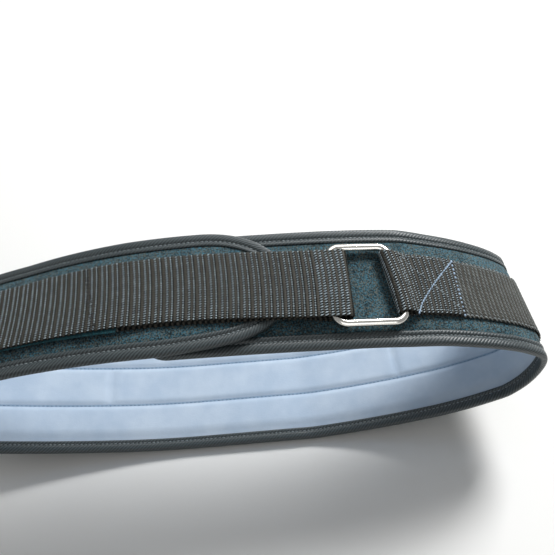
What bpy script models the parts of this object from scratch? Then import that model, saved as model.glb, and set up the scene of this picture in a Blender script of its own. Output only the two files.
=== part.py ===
"""A padded weightlifting belt, fastened, lying on its back panel with the ring up.

All sizes are metres. X runs right along the ring panel, Y runs away from the viewer
along the axis of the loop, and Z is up from the floor at Z = 0. The belt is one padded
strip that goes round and overlaps itself at the front. Its pieces are drawn in strip
coordinates: a distance along the strip, a distance across it and a height out of it.
"""
import math
from typing import NamedTuple

import bmesh
import bpy
from mathutils import Vector

# Clearance between pieces that touch on the real belt.
GAP = 0.0003

# The padded strip.
FRONT_WIDTH = 0.0883
BACK_WIDTH = 0.1006
CORE_DEPTH = 0.0042
CORE_RIM_DEPTH = 0.0018
LINING_DEPTH = 0.0010
LINING_RIM_DEPTH = 0.0008

# The folded tape round every edge of the strip.
TAPE_DEPTH = 0.0010
TAPE_FACE = 0.0100
TAPE_BACK = 0.0080
TAPE_BEAD = 0.0012

# The ends of the strip: the tongue on top and the square end hidden under it. The tongue's
# near rim is slimmed, from one distance before its tip to another.
TONGUE_TIP_X = 0.0265
TONGUE_LENGTH = 0.060
TONGUE_ROUNDNESS = 2.1
TONGUE_SLIMMED = 0.0040
SLIM_FROM = 0.092
SLIM_TO = 0.042
HIDDEN_END_X = -0.076
HIDDEN_CORNER = 0.020

# The webbing, sewn round the strip and threaded through the ring. A shift moves its middle
# off the middle of the strip, towards the far rim.
WEB_WIDTH = 0.0466
WEB_SHIFT = -0.0022
FOLD_SHIFT = -0.0006
SHIFT_FADE = 0.090
WEB_DEPTH = 0.0015
WEB_FLAT = 0.0265
STRAP_WIDTH = 0.050
TAIL_SHIFT = 0.0010
STRAP_SEWN_X = -0.0868
STRAP_TAIL_X = -0.194
PATCH_WIDTH = 0.050
PATCH_DEPTH = 0.0011
PATCH_LEFT_X = -0.208
LOOP_END_X = 0.145
LOOP_TOP = 0.0011
LOOP_RAMP = 0.012

# The ring, by the middle line of its wire. A slant is how far a bar or a fold runs along the
# strip for each metre across it.
WIRE = 0.0052
RING_LENGTH = 0.0566
RING_WIDTH = 0.04595
RING_CORNER = 0.0085
RING_X = 0.0770
RING_Y = -0.0013
LEFT_BAR_SLANT = -0.018
RIGHT_BAR_SLANT = 0.108

# How far each fold stands off the bar that it goes round, over and under it and into the
# ring's window, and the slant of the right one, which fades away from the ring.
BAR_SLACK = 0.0006
LEFT_FOLD_EASE = 0.00855
RIGHT_FOLD_EASE = 0.00155
RIGHT_FOLD_SLANT = 0.158
SLANT_FADE = 0.045

# Mesh fineness.
LONG_STEP = 0.016
SLANTED_STEP = 0.004
TURN_STEP = 9.5
RING_SIDES = 12


class Stretch(NamedTuple):
    """One stretch of the loop, from the heading of the row before to its own."""

    name: str
    heading: float   # degrees at its end, anticlockwise from +X
    length: float    # metres along the outer fabric, 0 where it closes the loop
    flare: float     # degrees that the near rim leans out at its end
    drift: float     # metres that the middle of the strip lies further back at its end


# The loop, anticlockwise from the middle of the stretch that rests on the floor.
LOOP = (
    Stretch("rests on the floor", 0.0, 0.030, 0.0, -0.0025),
    Stretch("back, leaving the floor", 6.5, 0.0145, 1.2, -0.0025),
    Stretch("back, right", 16.5, 0.095, 1.5, -0.0020),
    Stretch("hip, lower", 31.5, 0.056, 4.0, -0.0010),
    Stretch("hip, turning up", 51.5, 0.016, 4.5, 0.0),
    Stretch("hip, upright", 86.5, 0.0205, 4.0, 0.0005),
    Stretch("hip, turning over", 121.5, 0.017, 3.5, 0.0005),
    Stretch("hip, upper", 141.5, 0.008, 1.5, 0.0003),
    Stretch("front, right", 156.5, 0.027, -1.0, 0.0),
    Stretch("front, by the stitched box", 166.5, 0.048, -5.5, 0.0),
    Stretch("front, right of the ring", 172.5, 0.024, -10.0, 0.0),
    Stretch("front, under the ring", 176.5, 0.030, -10.0, 0.0),
    Stretch("front, left end of the ring", 177.5, 0.024, -10.0, 0.0),
    Stretch("front, under the tongue", 180.5, 0.089, -7.5, 0.0003),
    Stretch("front, left of the tongue", 186.5, 0.046, -5.5, 0.0008),
    Stretch("front, under the tail", 196.5, 0.074, 0.5, 0.0012),
    Stretch("front, left", 202.0, 0.045, 1.0, 0.0020),
    Stretch("left hip, upper", 210.0, 0.0, 0.0, 0.0025),
    Stretch("left hip, turning under", 310.0, 0.044, 0.0, 0.0005),
    Stretch("left hip, lower", 338.0, 0.0, 0.0, -0.0015),
    Stretch("back, far left", 345.0, 0.008, 0.0, -0.0020),
    Stretch("back, left", 352.5, 0.131, 0.0, -0.0025),
    Stretch("back, coming to the floor", 360.0, 0.065, 0.0, -0.0025),
    Stretch("rests on the floor", 360.0, 0.040, 0.0, -0.0025),
)


def stretch_vector(start, end):
    """The mean direction in X and Z of an arc between two headings in degrees."""
    a, b = math.radians(start), math.radians(end)
    if abs(b - a) < 1e-9:
        return math.cos(a), math.sin(a)
    return (math.sin(b) - math.sin(a)) / (b - a), (math.cos(a) - math.cos(b)) / (b - a)


def closed_loop():
    """Rows of LOOP with the two open lengths worked out so that the loop closes."""
    gap_x = gap_z = 0.0
    open_rows = []
    heading = 0.0
    for index, row in enumerate(LOOP):
        mean_x, mean_z = stretch_vector(heading, row.heading)
        gap_x -= row.length * mean_x
        gap_z -= row.length * mean_z
        if row.length == 0.0:
            open_rows.append((index, mean_x, mean_z))
        heading = row.heading
    (first, ax, az), (second, bx, bz) = open_rows
    determinant = ax * bz - bx * az
    lengths = {first: (gap_x * bz - bx * gap_z) / determinant,
               second: (ax * gap_z - gap_x * az) / determinant}
    return [row._replace(length=lengths.get(index, row.length))
            for index, row in enumerate(LOOP)]


ROWS = closed_loop()
ROUND = sum(row.length for row in ROWS)


class Spot(NamedTuple):
    """A point of the loop: its place, heading and flare in radians, and drift."""

    x: float
    z: float
    heading: float
    flare: float
    drift: float


def loop_point(distance):
    """The spot at a distance round the loop."""
    left = distance % ROUND
    x = z = heading = flare = 0.0
    drift = ROWS[-1].drift
    for row in ROWS:
        part = min(left, row.length) / row.length
        turn = (row.heading - heading) * part
        mean_x, mean_z = stretch_vector(heading, heading + turn)
        x += mean_x * row.length * part
        z += mean_z * row.length * part
        spot = Spot(x, z, math.radians(heading + turn),
                    math.radians(flare + (row.flare - flare) * part),
                    drift + (row.drift - drift) * part)
        if left <= row.length:
            return spot
        left -= row.length
        heading, flare, drift = row.heading, row.flare, row.drift
    return spot


def front_distance(x):
    """The distance round the loop where the front panel passes a given X."""
    low, high = 0.30 * ROUND, 0.72 * ROUND
    for _ in range(48):
        middle = 0.5 * (low + high)
        if loop_point(middle).x > x:
            low = middle
        else:
            high = middle
    return 0.5 * (low + high)


def smooth(value):
    """An easy ramp from 0 to 1."""
    value = min(1.0, max(0.0, value))
    return value * value * (3.0 - 2.0 * value)


# Heights through the wall, down from the outer fabric at 0.
TAPE_UNDER = -TAPE_DEPTH
CORE_RIM_TOP = TAPE_UNDER - GAP
CORE_RIM_BOTTOM = CORE_RIM_TOP - CORE_RIM_DEPTH
LINING_RIM_TOP = CORE_RIM_BOTTOM - GAP
LINING_RIM_BOTTOM = LINING_RIM_TOP - LINING_RIM_DEPTH
TAPE_BACK_TOP = LINING_RIM_BOTTOM - GAP
TAPE_BACK_BOTTOM = TAPE_BACK_TOP - TAPE_DEPTH
CORE_BOTTOM = -CORE_DEPTH
LINING_TOP = CORE_BOTTOM - GAP
LINING_BOTTOM = LINING_TOP - LINING_DEPTH

# The tongue end lies over the other end by the depth of the wall.
LIFT = max(-TAPE_BACK_BOTTOM, -LINING_BOTTOM) + GAP
LIFT_FROM_HEADING = 222.0
LIFT_TO_HEADING = 200.0

# Places along the strip. They count down from the hidden end, through 0 at the middle of
# the back, to the tip of the tongue, which is one turn further round.
HIDDEN_END = front_distance(HIDDEN_END_X)
TONGUE_TIP = front_distance(TONGUE_TIP_X) - ROUND

# Heights of the webbing's layers over the fabric that it lies on.
WEB_BOTTOM = GAP
WEB_TOP = WEB_BOTTOM + WEB_DEPTH
UPPER_BOTTOM = WEB_TOP + GAP
UPPER_TOP = UPPER_BOTTOM + WEB_DEPTH
PATCH_TOP = UPPER_BOTTOM + PATCH_DEPTH
BAR_HEIGHT = WEB_TOP + BAR_SLACK + WIRE / 2
FOLD_RADIUS = WIRE / 2 + BAR_SLACK + WEB_DEPTH / 2


def lift(along):
    """How far the strip's outer end stands over the loop, nothing on its inner end."""
    if along > -0.15 * ROUND:
        return 0.0
    heading = math.degrees(loop_point(along).heading)
    return LIFT * smooth((LIFT_FROM_HEADING - heading) / (LIFT_FROM_HEADING - LIFT_TO_HEADING))


def strip_width(along):
    """The strip's width: broad over the back, narrower past the hips."""
    heading = math.degrees(loop_point(along).heading)
    off_back = min(heading, 360.0 - heading)
    return BACK_WIDTH + (FRONT_WIDTH - BACK_WIDTH) * smooth(off_back / 90.0)


def slimmed(along, across):
    """The place across the strip where the tongue's near rim is cut back towards the far one."""
    half = strip_width(along) / 2
    cut = TONGUE_SLIMMED * smooth((SLIM_FROM - along + TONGUE_TIP) / (SLIM_FROM - SLIM_TO))
    return across + cut * (half - across) / (2 * half)


def place(along, across, height, raised=True):
    """The point in space for strip coordinates; raised adds the overlap's lift."""
    spot = loop_point(along)
    if raised:
        height = height + lift(along)
    out = height * math.cos(spot.flare) - across * math.sin(spot.flare)
    y = across * math.cos(spot.flare) + height * math.sin(spot.flare) + spot.drift
    return Vector((spot.x + math.sin(spot.heading) * out, y, spot.z - math.cos(spot.heading) * out))


def stations(start, end):
    """Distances from start down to end, closer where the loop turns sharply."""
    marks = set()
    distance = 0.0
    heading = 0.0
    for row in ROWS:
        turn = abs(row.heading - heading)
        count = max(1, math.ceil(turn / TURN_STEP - 0.01), math.ceil(row.length / LONG_STEP - 0.01))
        for index in range(count):
            mark = distance + row.length * index / count
            marks.update((mark, mark - ROUND))
        distance += row.length
        heading = row.heading
    margin = 0.3 * LONG_STEP
    inner = [m for m in marks if end + margin < m < start - margin]
    return [start] + sorted(inner, reverse=True) + [end]


class Rib(NamedTuple):
    """A point on the strip's edge and the way inwards from it."""

    along: float
    across: float
    in_along: float
    in_across: float


def strip_outline():
    """Ribs from the middle of the hidden end, along one rim, to the tongue's tip."""
    half = strip_width(HIDDEN_END) / 2
    square = half - HIDDEN_CORNER
    points = [(HIDDEN_END, 0.0), (HIDDEN_END, square / 2)]
    for index in range(5):
        angle = math.radians(22.5 * index)
        points.append((HIDDEN_END - HIDDEN_CORNER * (1 - math.cos(angle)),
                       square + HIDDEN_CORNER * math.sin(angle)))
    tongue_start = TONGUE_TIP + TONGUE_LENGTH
    for along in stations(HIDDEN_END - HIDDEN_CORNER, tongue_start)[1:-1]:
        points.append((along, strip_width(along) / 2))
    half = strip_width(TONGUE_TIP) / 2
    steps = 12
    for index in range(steps + 1):
        angle = math.radians(90.0 * index / steps)
        power = 2.0 / TONGUE_ROUNDNESS
        points.append((tongue_start - TONGUE_LENGTH * math.sin(angle) ** power,
                       half * max(0.0, math.cos(angle)) ** power if index < steps else 0.0))
    ribs = []
    for index, (along, across) in enumerate(points):
        if index in (0, len(points) - 1):
            ribs.append(Rib(along, across, -1.0 if index == 0 else 1.0, 0.0))
            continue
        before, after = points[index - 1], points[index + 1]
        run, rise = after[0] - before[0], after[1] - before[1]
        size = math.hypot(run, rise)
        ribs.append(Rib(along, across, -rise / size, run / size))
    return ribs


OUTLINE = strip_outline()


def finish_mesh(name, mesh, material):
    """Turn a bmesh into an object with its faces outwards and its own material."""
    bmesh.ops.remove_doubles(mesh, verts=mesh.verts, dist=1e-6)
    bmesh.ops.triangulate(mesh, faces=[face for face in mesh.faces if len(face.verts) > 4])
    bmesh.ops.recalc_face_normals(mesh, faces=mesh.faces)
    data = bpy.data.meshes.new(name)
    mesh.to_mesh(data)
    mesh.free()
    data.materials.append(material)
    data.shade_smooth()
    data.set_sharp_from_angle(angle=math.radians(35.0))
    piece = bpy.data.objects.new(name, data)
    bpy.context.collection.objects.link(piece)
    return piece


def add_quad(mesh, a, b, c, d):
    """Two triangles for a quad, always split from a to c; corners may coincide."""
    for corners in ((a, b, c), (a, c, d)):
        spots = {tuple(round(value, 7) for value in corner.co) for corner in corners}
        if len(spots) == 3:
            mesh.faces.new(corners)


def sweep(name, rings, material, closed=False):
    """A closed solid through rings of points, capped at its ends unless closed."""
    mesh = bmesh.new()
    loops = [[mesh.verts.new(point) for point in ring] for ring in rings]
    pairs = list(zip(loops, loops[1:]))
    if closed:
        pairs.append((loops[-1], loops[0]))
    for one, two in pairs:
        for index in range(len(one)):
            after = (index + 1) % len(one)
            add_quad(mesh, one[index], two[index], two[after], one[after])
    if not closed:
        for ring in (loops[0], loops[-1]):
            mesh.faces.new(ring)
    return finish_mesh(name, mesh, material)


def inset(rib, side, amount):
    """Strip coordinates of a point inwards from a rib, on side -1 (near) or 1 (far)."""
    return rib.along + rib.in_along * amount, side * (rib.across + rib.in_across * amount)


def slab(name, outer, inner, material):
    """A padded sheet inside the outline.

    outer and inner list (inset, height) from the rim inwards, for the outer and the
    inner face; the last inset None is the middle line of the strip.
    """
    mesh = bmesh.new()

    def face_row(rib, columns):
        row = []
        deepest, rim_height = columns[-2]
        spine_along = rib.along + rib.in_along * deepest
        from_end = min(HIDDEN_END - spine_along, spine_along - TONGUE_TIP)
        crown = smooth((from_end - deepest) / (FRONT_WIDTH / 2 - deepest))
        for side, order in ((-1, columns), (1, columns[::-1])):
            for amount, height in order:
                if amount is None and side == 1:
                    continue
                if amount is None:
                    along, across = spine_along, 0.0
                    height = rim_height + (height - rim_height) * crown
                else:
                    along, across = inset(rib, side, amount)
                row.append(mesh.verts.new(place(along, slimmed(along, across), height)))
        return row

    outer_rows = [face_row(rib, outer) for rib in OUTLINE]
    inner_rows = [face_row(rib, inner) for rib in OUTLINE]
    for rows in (outer_rows, inner_rows):
        for one, two in zip(rows, rows[1:]):
            for index in range(len(one) - 1):
                add_quad(mesh, one[index], two[index], two[index + 1], one[index + 1])
    for column in (0, -1):
        for index in range(len(OUTLINE) - 1):
            add_quad(mesh, outer_rows[index][column], outer_rows[index + 1][column],
                     inner_rows[index + 1][column], inner_rows[index][column])
    return finish_mesh(name, mesh, material)


class Knot(NamedTuple):
    """A point of a band's spine, at the middle of its depth and width."""

    along: float
    across: float
    height: float
    raised: bool
    slant: float = 0.0

    def beside(self, offset):
        """The point in space at a distance across the band from here."""
        return place(self.along + self.slant * offset, self.across + offset, self.height, self.raised)


def band(name, spine, width, depth, material):
    """A flat band of webbing along a spine of knots."""
    rings = []
    for index, knot in enumerate(spine):
        before = spine[max(index - 1, 0)]
        after = spine[min(index + 1, len(spine) - 1)]
        run = after.beside(0.0) - before.beside(0.0)
        across = knot.beside(width / 2) - knot.beside(-width / 2)
        normal = run.cross(across).normalized()
        ring = []
        for side, level in ((-1, -1), (0, -1), (1, -1), (1, 1), (0, 1), (-1, 1)):
            ring.append(knot.beside(side * width / 2) + normal * (level * depth / 2))
        rings.append(ring)
    return sweep(name, rings, material)


def fold_points(bar, turn_from, turn_to, radius, steps=8):
    """Points (along, height) of an arc round a bar at (along, height)."""
    points = []
    for index in range(steps + 1):
        angle = math.radians(turn_from + (turn_to - turn_from) * index / steps)
        points.append((bar[0] + radius * math.cos(angle), bar[1] + radius * math.sin(angle)))
    return points


def new_material(name, color, roughness, metallic=0.0):
    """A plain Principled material."""
    material = bpy.data.materials.new(name)
    material.use_nodes = True
    shader = material.node_tree.nodes["Principled BSDF"]
    shader.inputs["Base Color"].default_value = (*color, 1.0)
    shader.inputs["Roughness"].default_value = roughness
    shader.inputs["Metallic"].default_value = metallic
    return material


def build_padded_body():
    """Foam core and outer fabric: pinched under the tape and raised between."""
    core_flat = FRONT_WIDTH / 2 - WEB_FLAT
    tape_clear = TAPE_DEPTH + GAP
    slab("padded_body",
         ((tape_clear, CORE_RIM_TOP), (TAPE_FACE + GAP, CORE_RIM_TOP), (core_flat, 0.0), (None, 0.0)),
         ((tape_clear, CORE_RIM_BOTTOM), (TAPE_BACK + GAP, CORE_RIM_BOTTOM), (None, CORE_BOTTOM)),
         new_material("outer_fabric", (0.035, 0.052, 0.060), 0.90))


def build_lining():
    """The brushed lining on the inside, crowned with the core."""
    tape_clear = TAPE_DEPTH + GAP
    slab("lining",
         ((tape_clear, LINING_RIM_TOP), (TAPE_BACK + GAP, LINING_RIM_TOP), (None, LINING_TOP)),
         ((tape_clear, LINING_RIM_BOTTOM), (TAPE_BACK + GAP, LINING_RIM_BOTTOM), (None, LINING_BOTTOM)),
         new_material("lining_fabric", (0.56, 0.66, 0.80), 0.95))


def build_edge_binding():
    """The folded tape, a channel that closes over the edge all the way round."""
    section = ((TAPE_FACE, 0.0), (TAPE_BEAD, 0.0), (0.0, -TAPE_BEAD),
               (0.0, TAPE_BACK_BOTTOM + TAPE_BEAD), (TAPE_BEAD, TAPE_BACK_BOTTOM),
               (TAPE_BACK, TAPE_BACK_BOTTOM), (TAPE_BACK, TAPE_BACK_TOP),
               (TAPE_DEPTH, TAPE_BACK_TOP), (TAPE_DEPTH, TAPE_UNDER), (TAPE_FACE, TAPE_UNDER))
    ribs = [(rib, -1) for rib in OUTLINE] + [(rib, 1) for rib in OUTLINE[-2:0:-1]]
    rings = []
    for rib, side in ribs:
        ring = []
        for amount, height in section:
            along, across = inset(rib, side, amount)
            ring.append(place(along, slimmed(along, across), height))
        rings.append(ring)
    sweep("edge_binding", rings, new_material("binding_tape", (0.060, 0.068, 0.075), 0.80), closed=True)


def ring_bars():
    """Places along the loop of the ring's two long bars, the left and the right."""
    middle = front_distance(RING_X)
    return middle + RING_WIDTH / 2, middle - RING_WIDTH / 2


def build_sewn_webbing():
    """The webbing from the left panel round the back to its fold on the ring."""
    right_bar = ring_bars()[1]
    low, high, top = (WEB_BOTTOM + WEB_TOP) / 2, (UPPER_BOTTOM + UPPER_TOP) / 2, BAR_HEIGHT + FOLD_RADIUS
    fold_end = front_distance(LOOP_END_X)
    ramp_end = right_bar - LOOP_RAMP
    count = math.ceil((ramp_end - fold_end) / SLANTED_STEP)
    path = [(fold_end + (ramp_end - fold_end) * index / count, high, False) for index in range(count + 1)]
    path += [((ramp_end + right_bar - LOOP_TOP) / 2, (high + top) / 2, False),
             (right_bar - LOOP_TOP, top, False)]
    path += [(along, height, False) for along, height
             in fold_points((right_bar + RIGHT_FOLD_EASE, BAR_HEIGHT), 90.0, -90.0, FOLD_RADIUS)]
    sewn_end = front_distance(STRAP_SEWN_X) - ROUND + GAP / 2
    path += [(along, low, True) for along in stations(right_bar - WIRE, sewn_end)]
    spine = []
    for along, height, raised in path:
        past = right_bar - along
        shift = FOLD_SHIFT + (WEB_SHIFT - FOLD_SHIFT) * smooth(past / SHIFT_FADE)
        slant = RIGHT_FOLD_SLANT * (1.0 - smooth(past / (WIRE if raised else SLANT_FADE)))
        spine.append(Knot(along, shift, height, raised, slant))
    band("sewn_webbing", spine, WEB_WIDTH, WEB_DEPTH, new_material("webbing", (0.075, 0.080, 0.085), 0.70))


def build_fastening_strap():
    """The strap from its sewn end, round the ring's left bar and back as the tail."""
    left_bar = ring_bars()[0]
    fold = left_bar - LEFT_FOLD_EASE
    low, high = (WEB_BOTTOM + WEB_TOP) / 2, (UPPER_BOTTOM + UPPER_TOP) / 2
    over_patch = PATCH_TOP + GAP + WEB_DEPTH / 2
    sewn = front_distance(STRAP_SEWN_X) - GAP / 2
    off_tip = TONGUE_TIP + ROUND - 0.004
    ramp = 0.018

    def on_tongue(along, shift, height):
        """A knot that lies on the tongue end, coming into line with the ring near it."""
        settled = smooth((along - left_bar) / (sewn - left_bar))
        return Knot(along, RING_Y + (shift - RING_Y) * settled, height + lift(along - ROUND), False)

    spine = [on_tongue(along, WEB_SHIFT, low) for along in stations(sewn, off_tip)]
    spine.append(Knot((off_tip + left_bar + WIRE) / 2, RING_Y, low + LIFT / 2, False))
    spine.append(Knot(left_bar + WIRE / 2, RING_Y, low, False))
    spine += [Knot(along, RING_Y, height, False)
              for along, height in fold_points((fold, BAR_HEIGHT), -90.0, -270.0, FOLD_RADIUS)]
    spine.append(Knot(left_bar + WIRE / 2, RING_Y, BAR_HEIGHT + FOLD_RADIUS, False))
    for along in sorted(stations(front_distance(STRAP_TAIL_X), off_tip)):
        climb = smooth((along - sewn + ramp) / ramp)
        spine.append(on_tongue(along, TAIL_SHIFT, high + (over_patch - high) * climb))
    band("fastening_strap", spine, STRAP_WIDTH, WEB_DEPTH,
         new_material("strap_webbing", (0.075, 0.080, 0.085), 0.70))


def build_loop_patch():
    """The pile strip sewn on the webbing under the tail."""
    right = front_distance(STRAP_SEWN_X) + GAP / 2 - ROUND
    left = front_distance(PATCH_LEFT_X) - ROUND
    middle = (UPPER_BOTTOM + PATCH_TOP) / 2
    spine = [Knot(along, WEB_SHIFT, middle, True) for along in stations(left, right)]
    band("loop_patch", spine, PATCH_WIDTH, PATCH_DEPTH, new_material("loop_pile", (0.020, 0.060, 0.070), 1.0))


def build_ring():
    """The bent wire ring, lying on the webbing between the two folds, narrower at its far end."""
    left, right = (place(bar, RING_Y, BAR_HEIGHT, False) for bar in ring_bars())
    centre = (left + right) / 2
    along = (left - right).normalized()
    middle = front_distance(RING_X)
    across = place(middle, RING_Y + 0.001, 0.0, False) - place(middle, RING_Y, 0.0, False)
    across = (across - along * across.dot(along)).normalized()
    upward = across.cross(along).normalized()
    half_x, half_y = RING_WIDTH / 2, RING_LENGTH / 2
    path = []
    for corner, (sign_x, sign_y) in enumerate(((1, 1), (-1, 1), (-1, -1), (1, -1))):
        for index in range(6):
            angle = math.radians(90.0 * corner + 18.0 * index)
            path.append((sign_x * (half_x - RING_CORNER) + RING_CORNER * math.cos(angle),
                         sign_y * (half_y - RING_CORNER) + RING_CORNER * math.sin(angle), angle))
    rings = []
    for x, y, angle in path:
        outward = along * math.cos(angle) + across * math.sin(angle)
        share = (x + half_x) / RING_WIDTH
        slant = RIGHT_BAR_SLANT + (LEFT_BAR_SLANT - RIGHT_BAR_SLANT) * share
        spot = centre + along * (x + slant * y) + across * y
        rings.append([spot + (outward * math.cos(turn) + upward * math.sin(turn)) * (WIRE / 2)
                      for turn in (2 * math.pi * side / RING_SIDES for side in range(RING_SIDES))])
    sweep("ring", rings, new_material("ring_steel", (0.62, 0.62, 0.62), 0.15, 1.0), closed=True)


def settle():
    """Move the whole belt so that it stands on the floor with its box centred."""
    corners = [piece.matrix_world @ vertex.co
               for piece in bpy.context.collection.objects for vertex in piece.data.vertices]
    low = [min(corner[axis] for corner in corners) for axis in range(3)]
    high = [max(corner[axis] for corner in corners) for axis in range(3)]
    shift = Vector((-(low[0] + high[0]) / 2, -(low[1] + high[1]) / 2, -low[2]))
    for piece in bpy.context.collection.objects:
        for vertex in piece.data.vertices:
            vertex.co += shift


def main():
    """Build every piece of the belt."""
    for old in list(bpy.data.objects):
        bpy.data.objects.remove(old, do_unlink=True)
    build_padded_body()
    build_lining()
    build_edge_binding()
    build_sewn_webbing()
    build_fastening_strap()
    build_loop_patch()
    build_ring()
    settle()


main()
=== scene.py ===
"""Looks of a padded weightlifting belt, fastened and lying on its back panel.

Every piece is drawn in strip coordinates: a distance along the padded strip, a distance
across it, and a height out of its outer fabric. Sizes are metres, except where a class
says that they are millimetres.
"""
from __future__ import annotations

import logging
import math
from dataclasses import dataclass
from enum import Enum
from functools import partial
from typing import Any, Callable, NamedTuple

import bmesh
import bpy
import numpy as np
from mathutils import Matrix, Vector

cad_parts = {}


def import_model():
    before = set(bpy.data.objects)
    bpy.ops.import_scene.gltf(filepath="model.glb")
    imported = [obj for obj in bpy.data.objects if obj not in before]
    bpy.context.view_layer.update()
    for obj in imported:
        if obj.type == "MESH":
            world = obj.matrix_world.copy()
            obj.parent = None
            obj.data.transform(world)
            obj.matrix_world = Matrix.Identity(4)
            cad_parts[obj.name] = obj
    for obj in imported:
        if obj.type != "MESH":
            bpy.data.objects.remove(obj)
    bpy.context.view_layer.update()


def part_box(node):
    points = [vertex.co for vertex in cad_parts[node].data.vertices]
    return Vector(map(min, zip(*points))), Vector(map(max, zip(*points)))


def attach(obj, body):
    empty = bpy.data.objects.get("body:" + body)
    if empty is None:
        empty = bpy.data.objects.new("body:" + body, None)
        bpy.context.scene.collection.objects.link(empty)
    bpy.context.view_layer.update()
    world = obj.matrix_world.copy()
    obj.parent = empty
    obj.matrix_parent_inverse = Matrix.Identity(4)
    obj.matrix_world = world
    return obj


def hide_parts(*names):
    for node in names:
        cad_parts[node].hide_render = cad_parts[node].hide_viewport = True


LOG = logging.getLogger("belt")
MM = 0.001
BODY = "root"
PICTURE_SIZE = 555
AddNode = Callable[..., bpy.types.Node]

# How many points the solid ring has at each corner and round its wire. The ring is drawn
# with them once, to lay the strip on the frame.
SOLID_RING_STEPS = (6, 12)

# Where the sewn webbing ends, how far the strap and the pile strip stay off that place, and
# how far the webbing lies off the middle of the strip.
SEWN_X = -86.8 * MM
SEWN_GAP = 0.6 * MM
WEB_SHIFT = -2.2 * MM


class Stretch(NamedTuple):
    """One stretch of the loop, from the heading of the row before to its own."""

    heading: float   # degrees at its end, anticlockwise from +X
    length: float    # metres along the outer fabric, 0 where it closes the loop
    flare: float     # degrees that the near rim leans out at its end
    drift: float     # metres that the middle of the strip lies further back at its end


# The loop, anticlockwise from the middle of the stretch that rests on the floor.
LOOP = (
    Stretch(0.0, 0.030, 0.0, -0.0025),        # rests on the floor
    Stretch(6.5, 0.0145, 1.2, -0.0025),       # back, leaving the floor
    Stretch(16.5, 0.095, 1.5, -0.0020),       # back, right
    Stretch(31.5, 0.056, 4.0, -0.0010),       # hip, lower
    Stretch(51.5, 0.016, 4.5, 0.0),           # hip, turning up
    Stretch(86.5, 0.0205, 4.0, 0.0005),       # hip, upright
    Stretch(121.5, 0.017, 3.5, 0.0005),       # hip, turning over
    Stretch(141.5, 0.008, 1.5, 0.0003),       # hip, upper
    Stretch(156.5, 0.027, -1.0, 0.0),         # front, right
    Stretch(166.5, 0.048, -5.5, 0.0),         # front, by the stitched box
    Stretch(172.5, 0.024, -10.0, 0.0),        # front, right of the ring
    Stretch(176.5, 0.030, -10.0, 0.0),        # front, under the ring
    Stretch(177.5, 0.024, -10.0, 0.0),        # front, left end of the ring
    Stretch(180.5, 0.089, -7.5, 0.0003),      # front, under the tongue
    Stretch(186.5, 0.046, -5.5, 0.0008),      # front, left of the tongue
    Stretch(196.5, 0.074, 0.5, 0.0012),       # front, under the tail
    Stretch(202.0, 0.045, 1.0, 0.0020),       # front, left
    Stretch(210.0, 0.0, 0.0, 0.0025),         # left hip, upper
    Stretch(310.0, 0.044, 0.0, 0.0005),       # left hip, turning under
    Stretch(338.0, 0.0, 0.0, -0.0015),        # left hip, lower
    Stretch(345.0, 0.008, 0.0, -0.0020),      # back, far left
    Stretch(352.5, 0.131, 0.0, -0.0025),      # back, left
    Stretch(360.0, 0.065, 0.0, -0.0025),      # back, coming to the floor
    Stretch(360.0, 0.040, 0.0, -0.0025),      # rests on the floor
)


def smooth(value: Any) -> Any:
    """An easy ramp from 0 to 1."""
    value = np.clip(value, 0.0, 1.0)
    return value * value * (3.0 - 2.0 * value)


def unit(vectors: np.ndarray) -> np.ndarray:
    """Vectors with their length made 1."""
    return vectors / np.maximum(np.linalg.norm(vectors, axis=-1, keepdims=True), 1e-12)


def lengths_along(points: np.ndarray) -> np.ndarray:
    """The distance of each point from the first, along the line through them."""
    steps = np.linalg.norm(np.diff(points, axis=0), axis=-1)
    return np.concatenate([[0.0], np.cumsum(steps)])


def columns_at(distance: np.ndarray, marks: np.ndarray, table: np.ndarray) -> np.ndarray:
    """Each column of a table read at given distances.

    Args:
        distance: where to read.
        marks: the distance of each row of the table.
        table: one row for each mark.

    Returns:
        One row for each distance.
    """
    return np.stack([np.interp(distance, marks, column) for column in table.T], -1)


def rounded(points: Any, step: float, soften: int) -> np.ndarray:
    """A line through points at an even step, with its corners softened.

    Args:
        points: the corners of the line.
        step: the distance between the points of the result.
        soften: how many times each point is averaged with its neighbours.

    Returns:
        The points of the softened line, with both ends kept.
    """
    points = np.asarray(points, float)
    marks = lengths_along(points)
    count = max(2, int(round(marks[-1] / step)) + 1)
    line = columns_at(np.linspace(0.0, marks[-1], count), marks, points)
    for _ in range(soften):
        line[1:-1] = (line[:-2] + 2.0 * line[1:-1] + line[2:]) / 4.0
    return line


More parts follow.
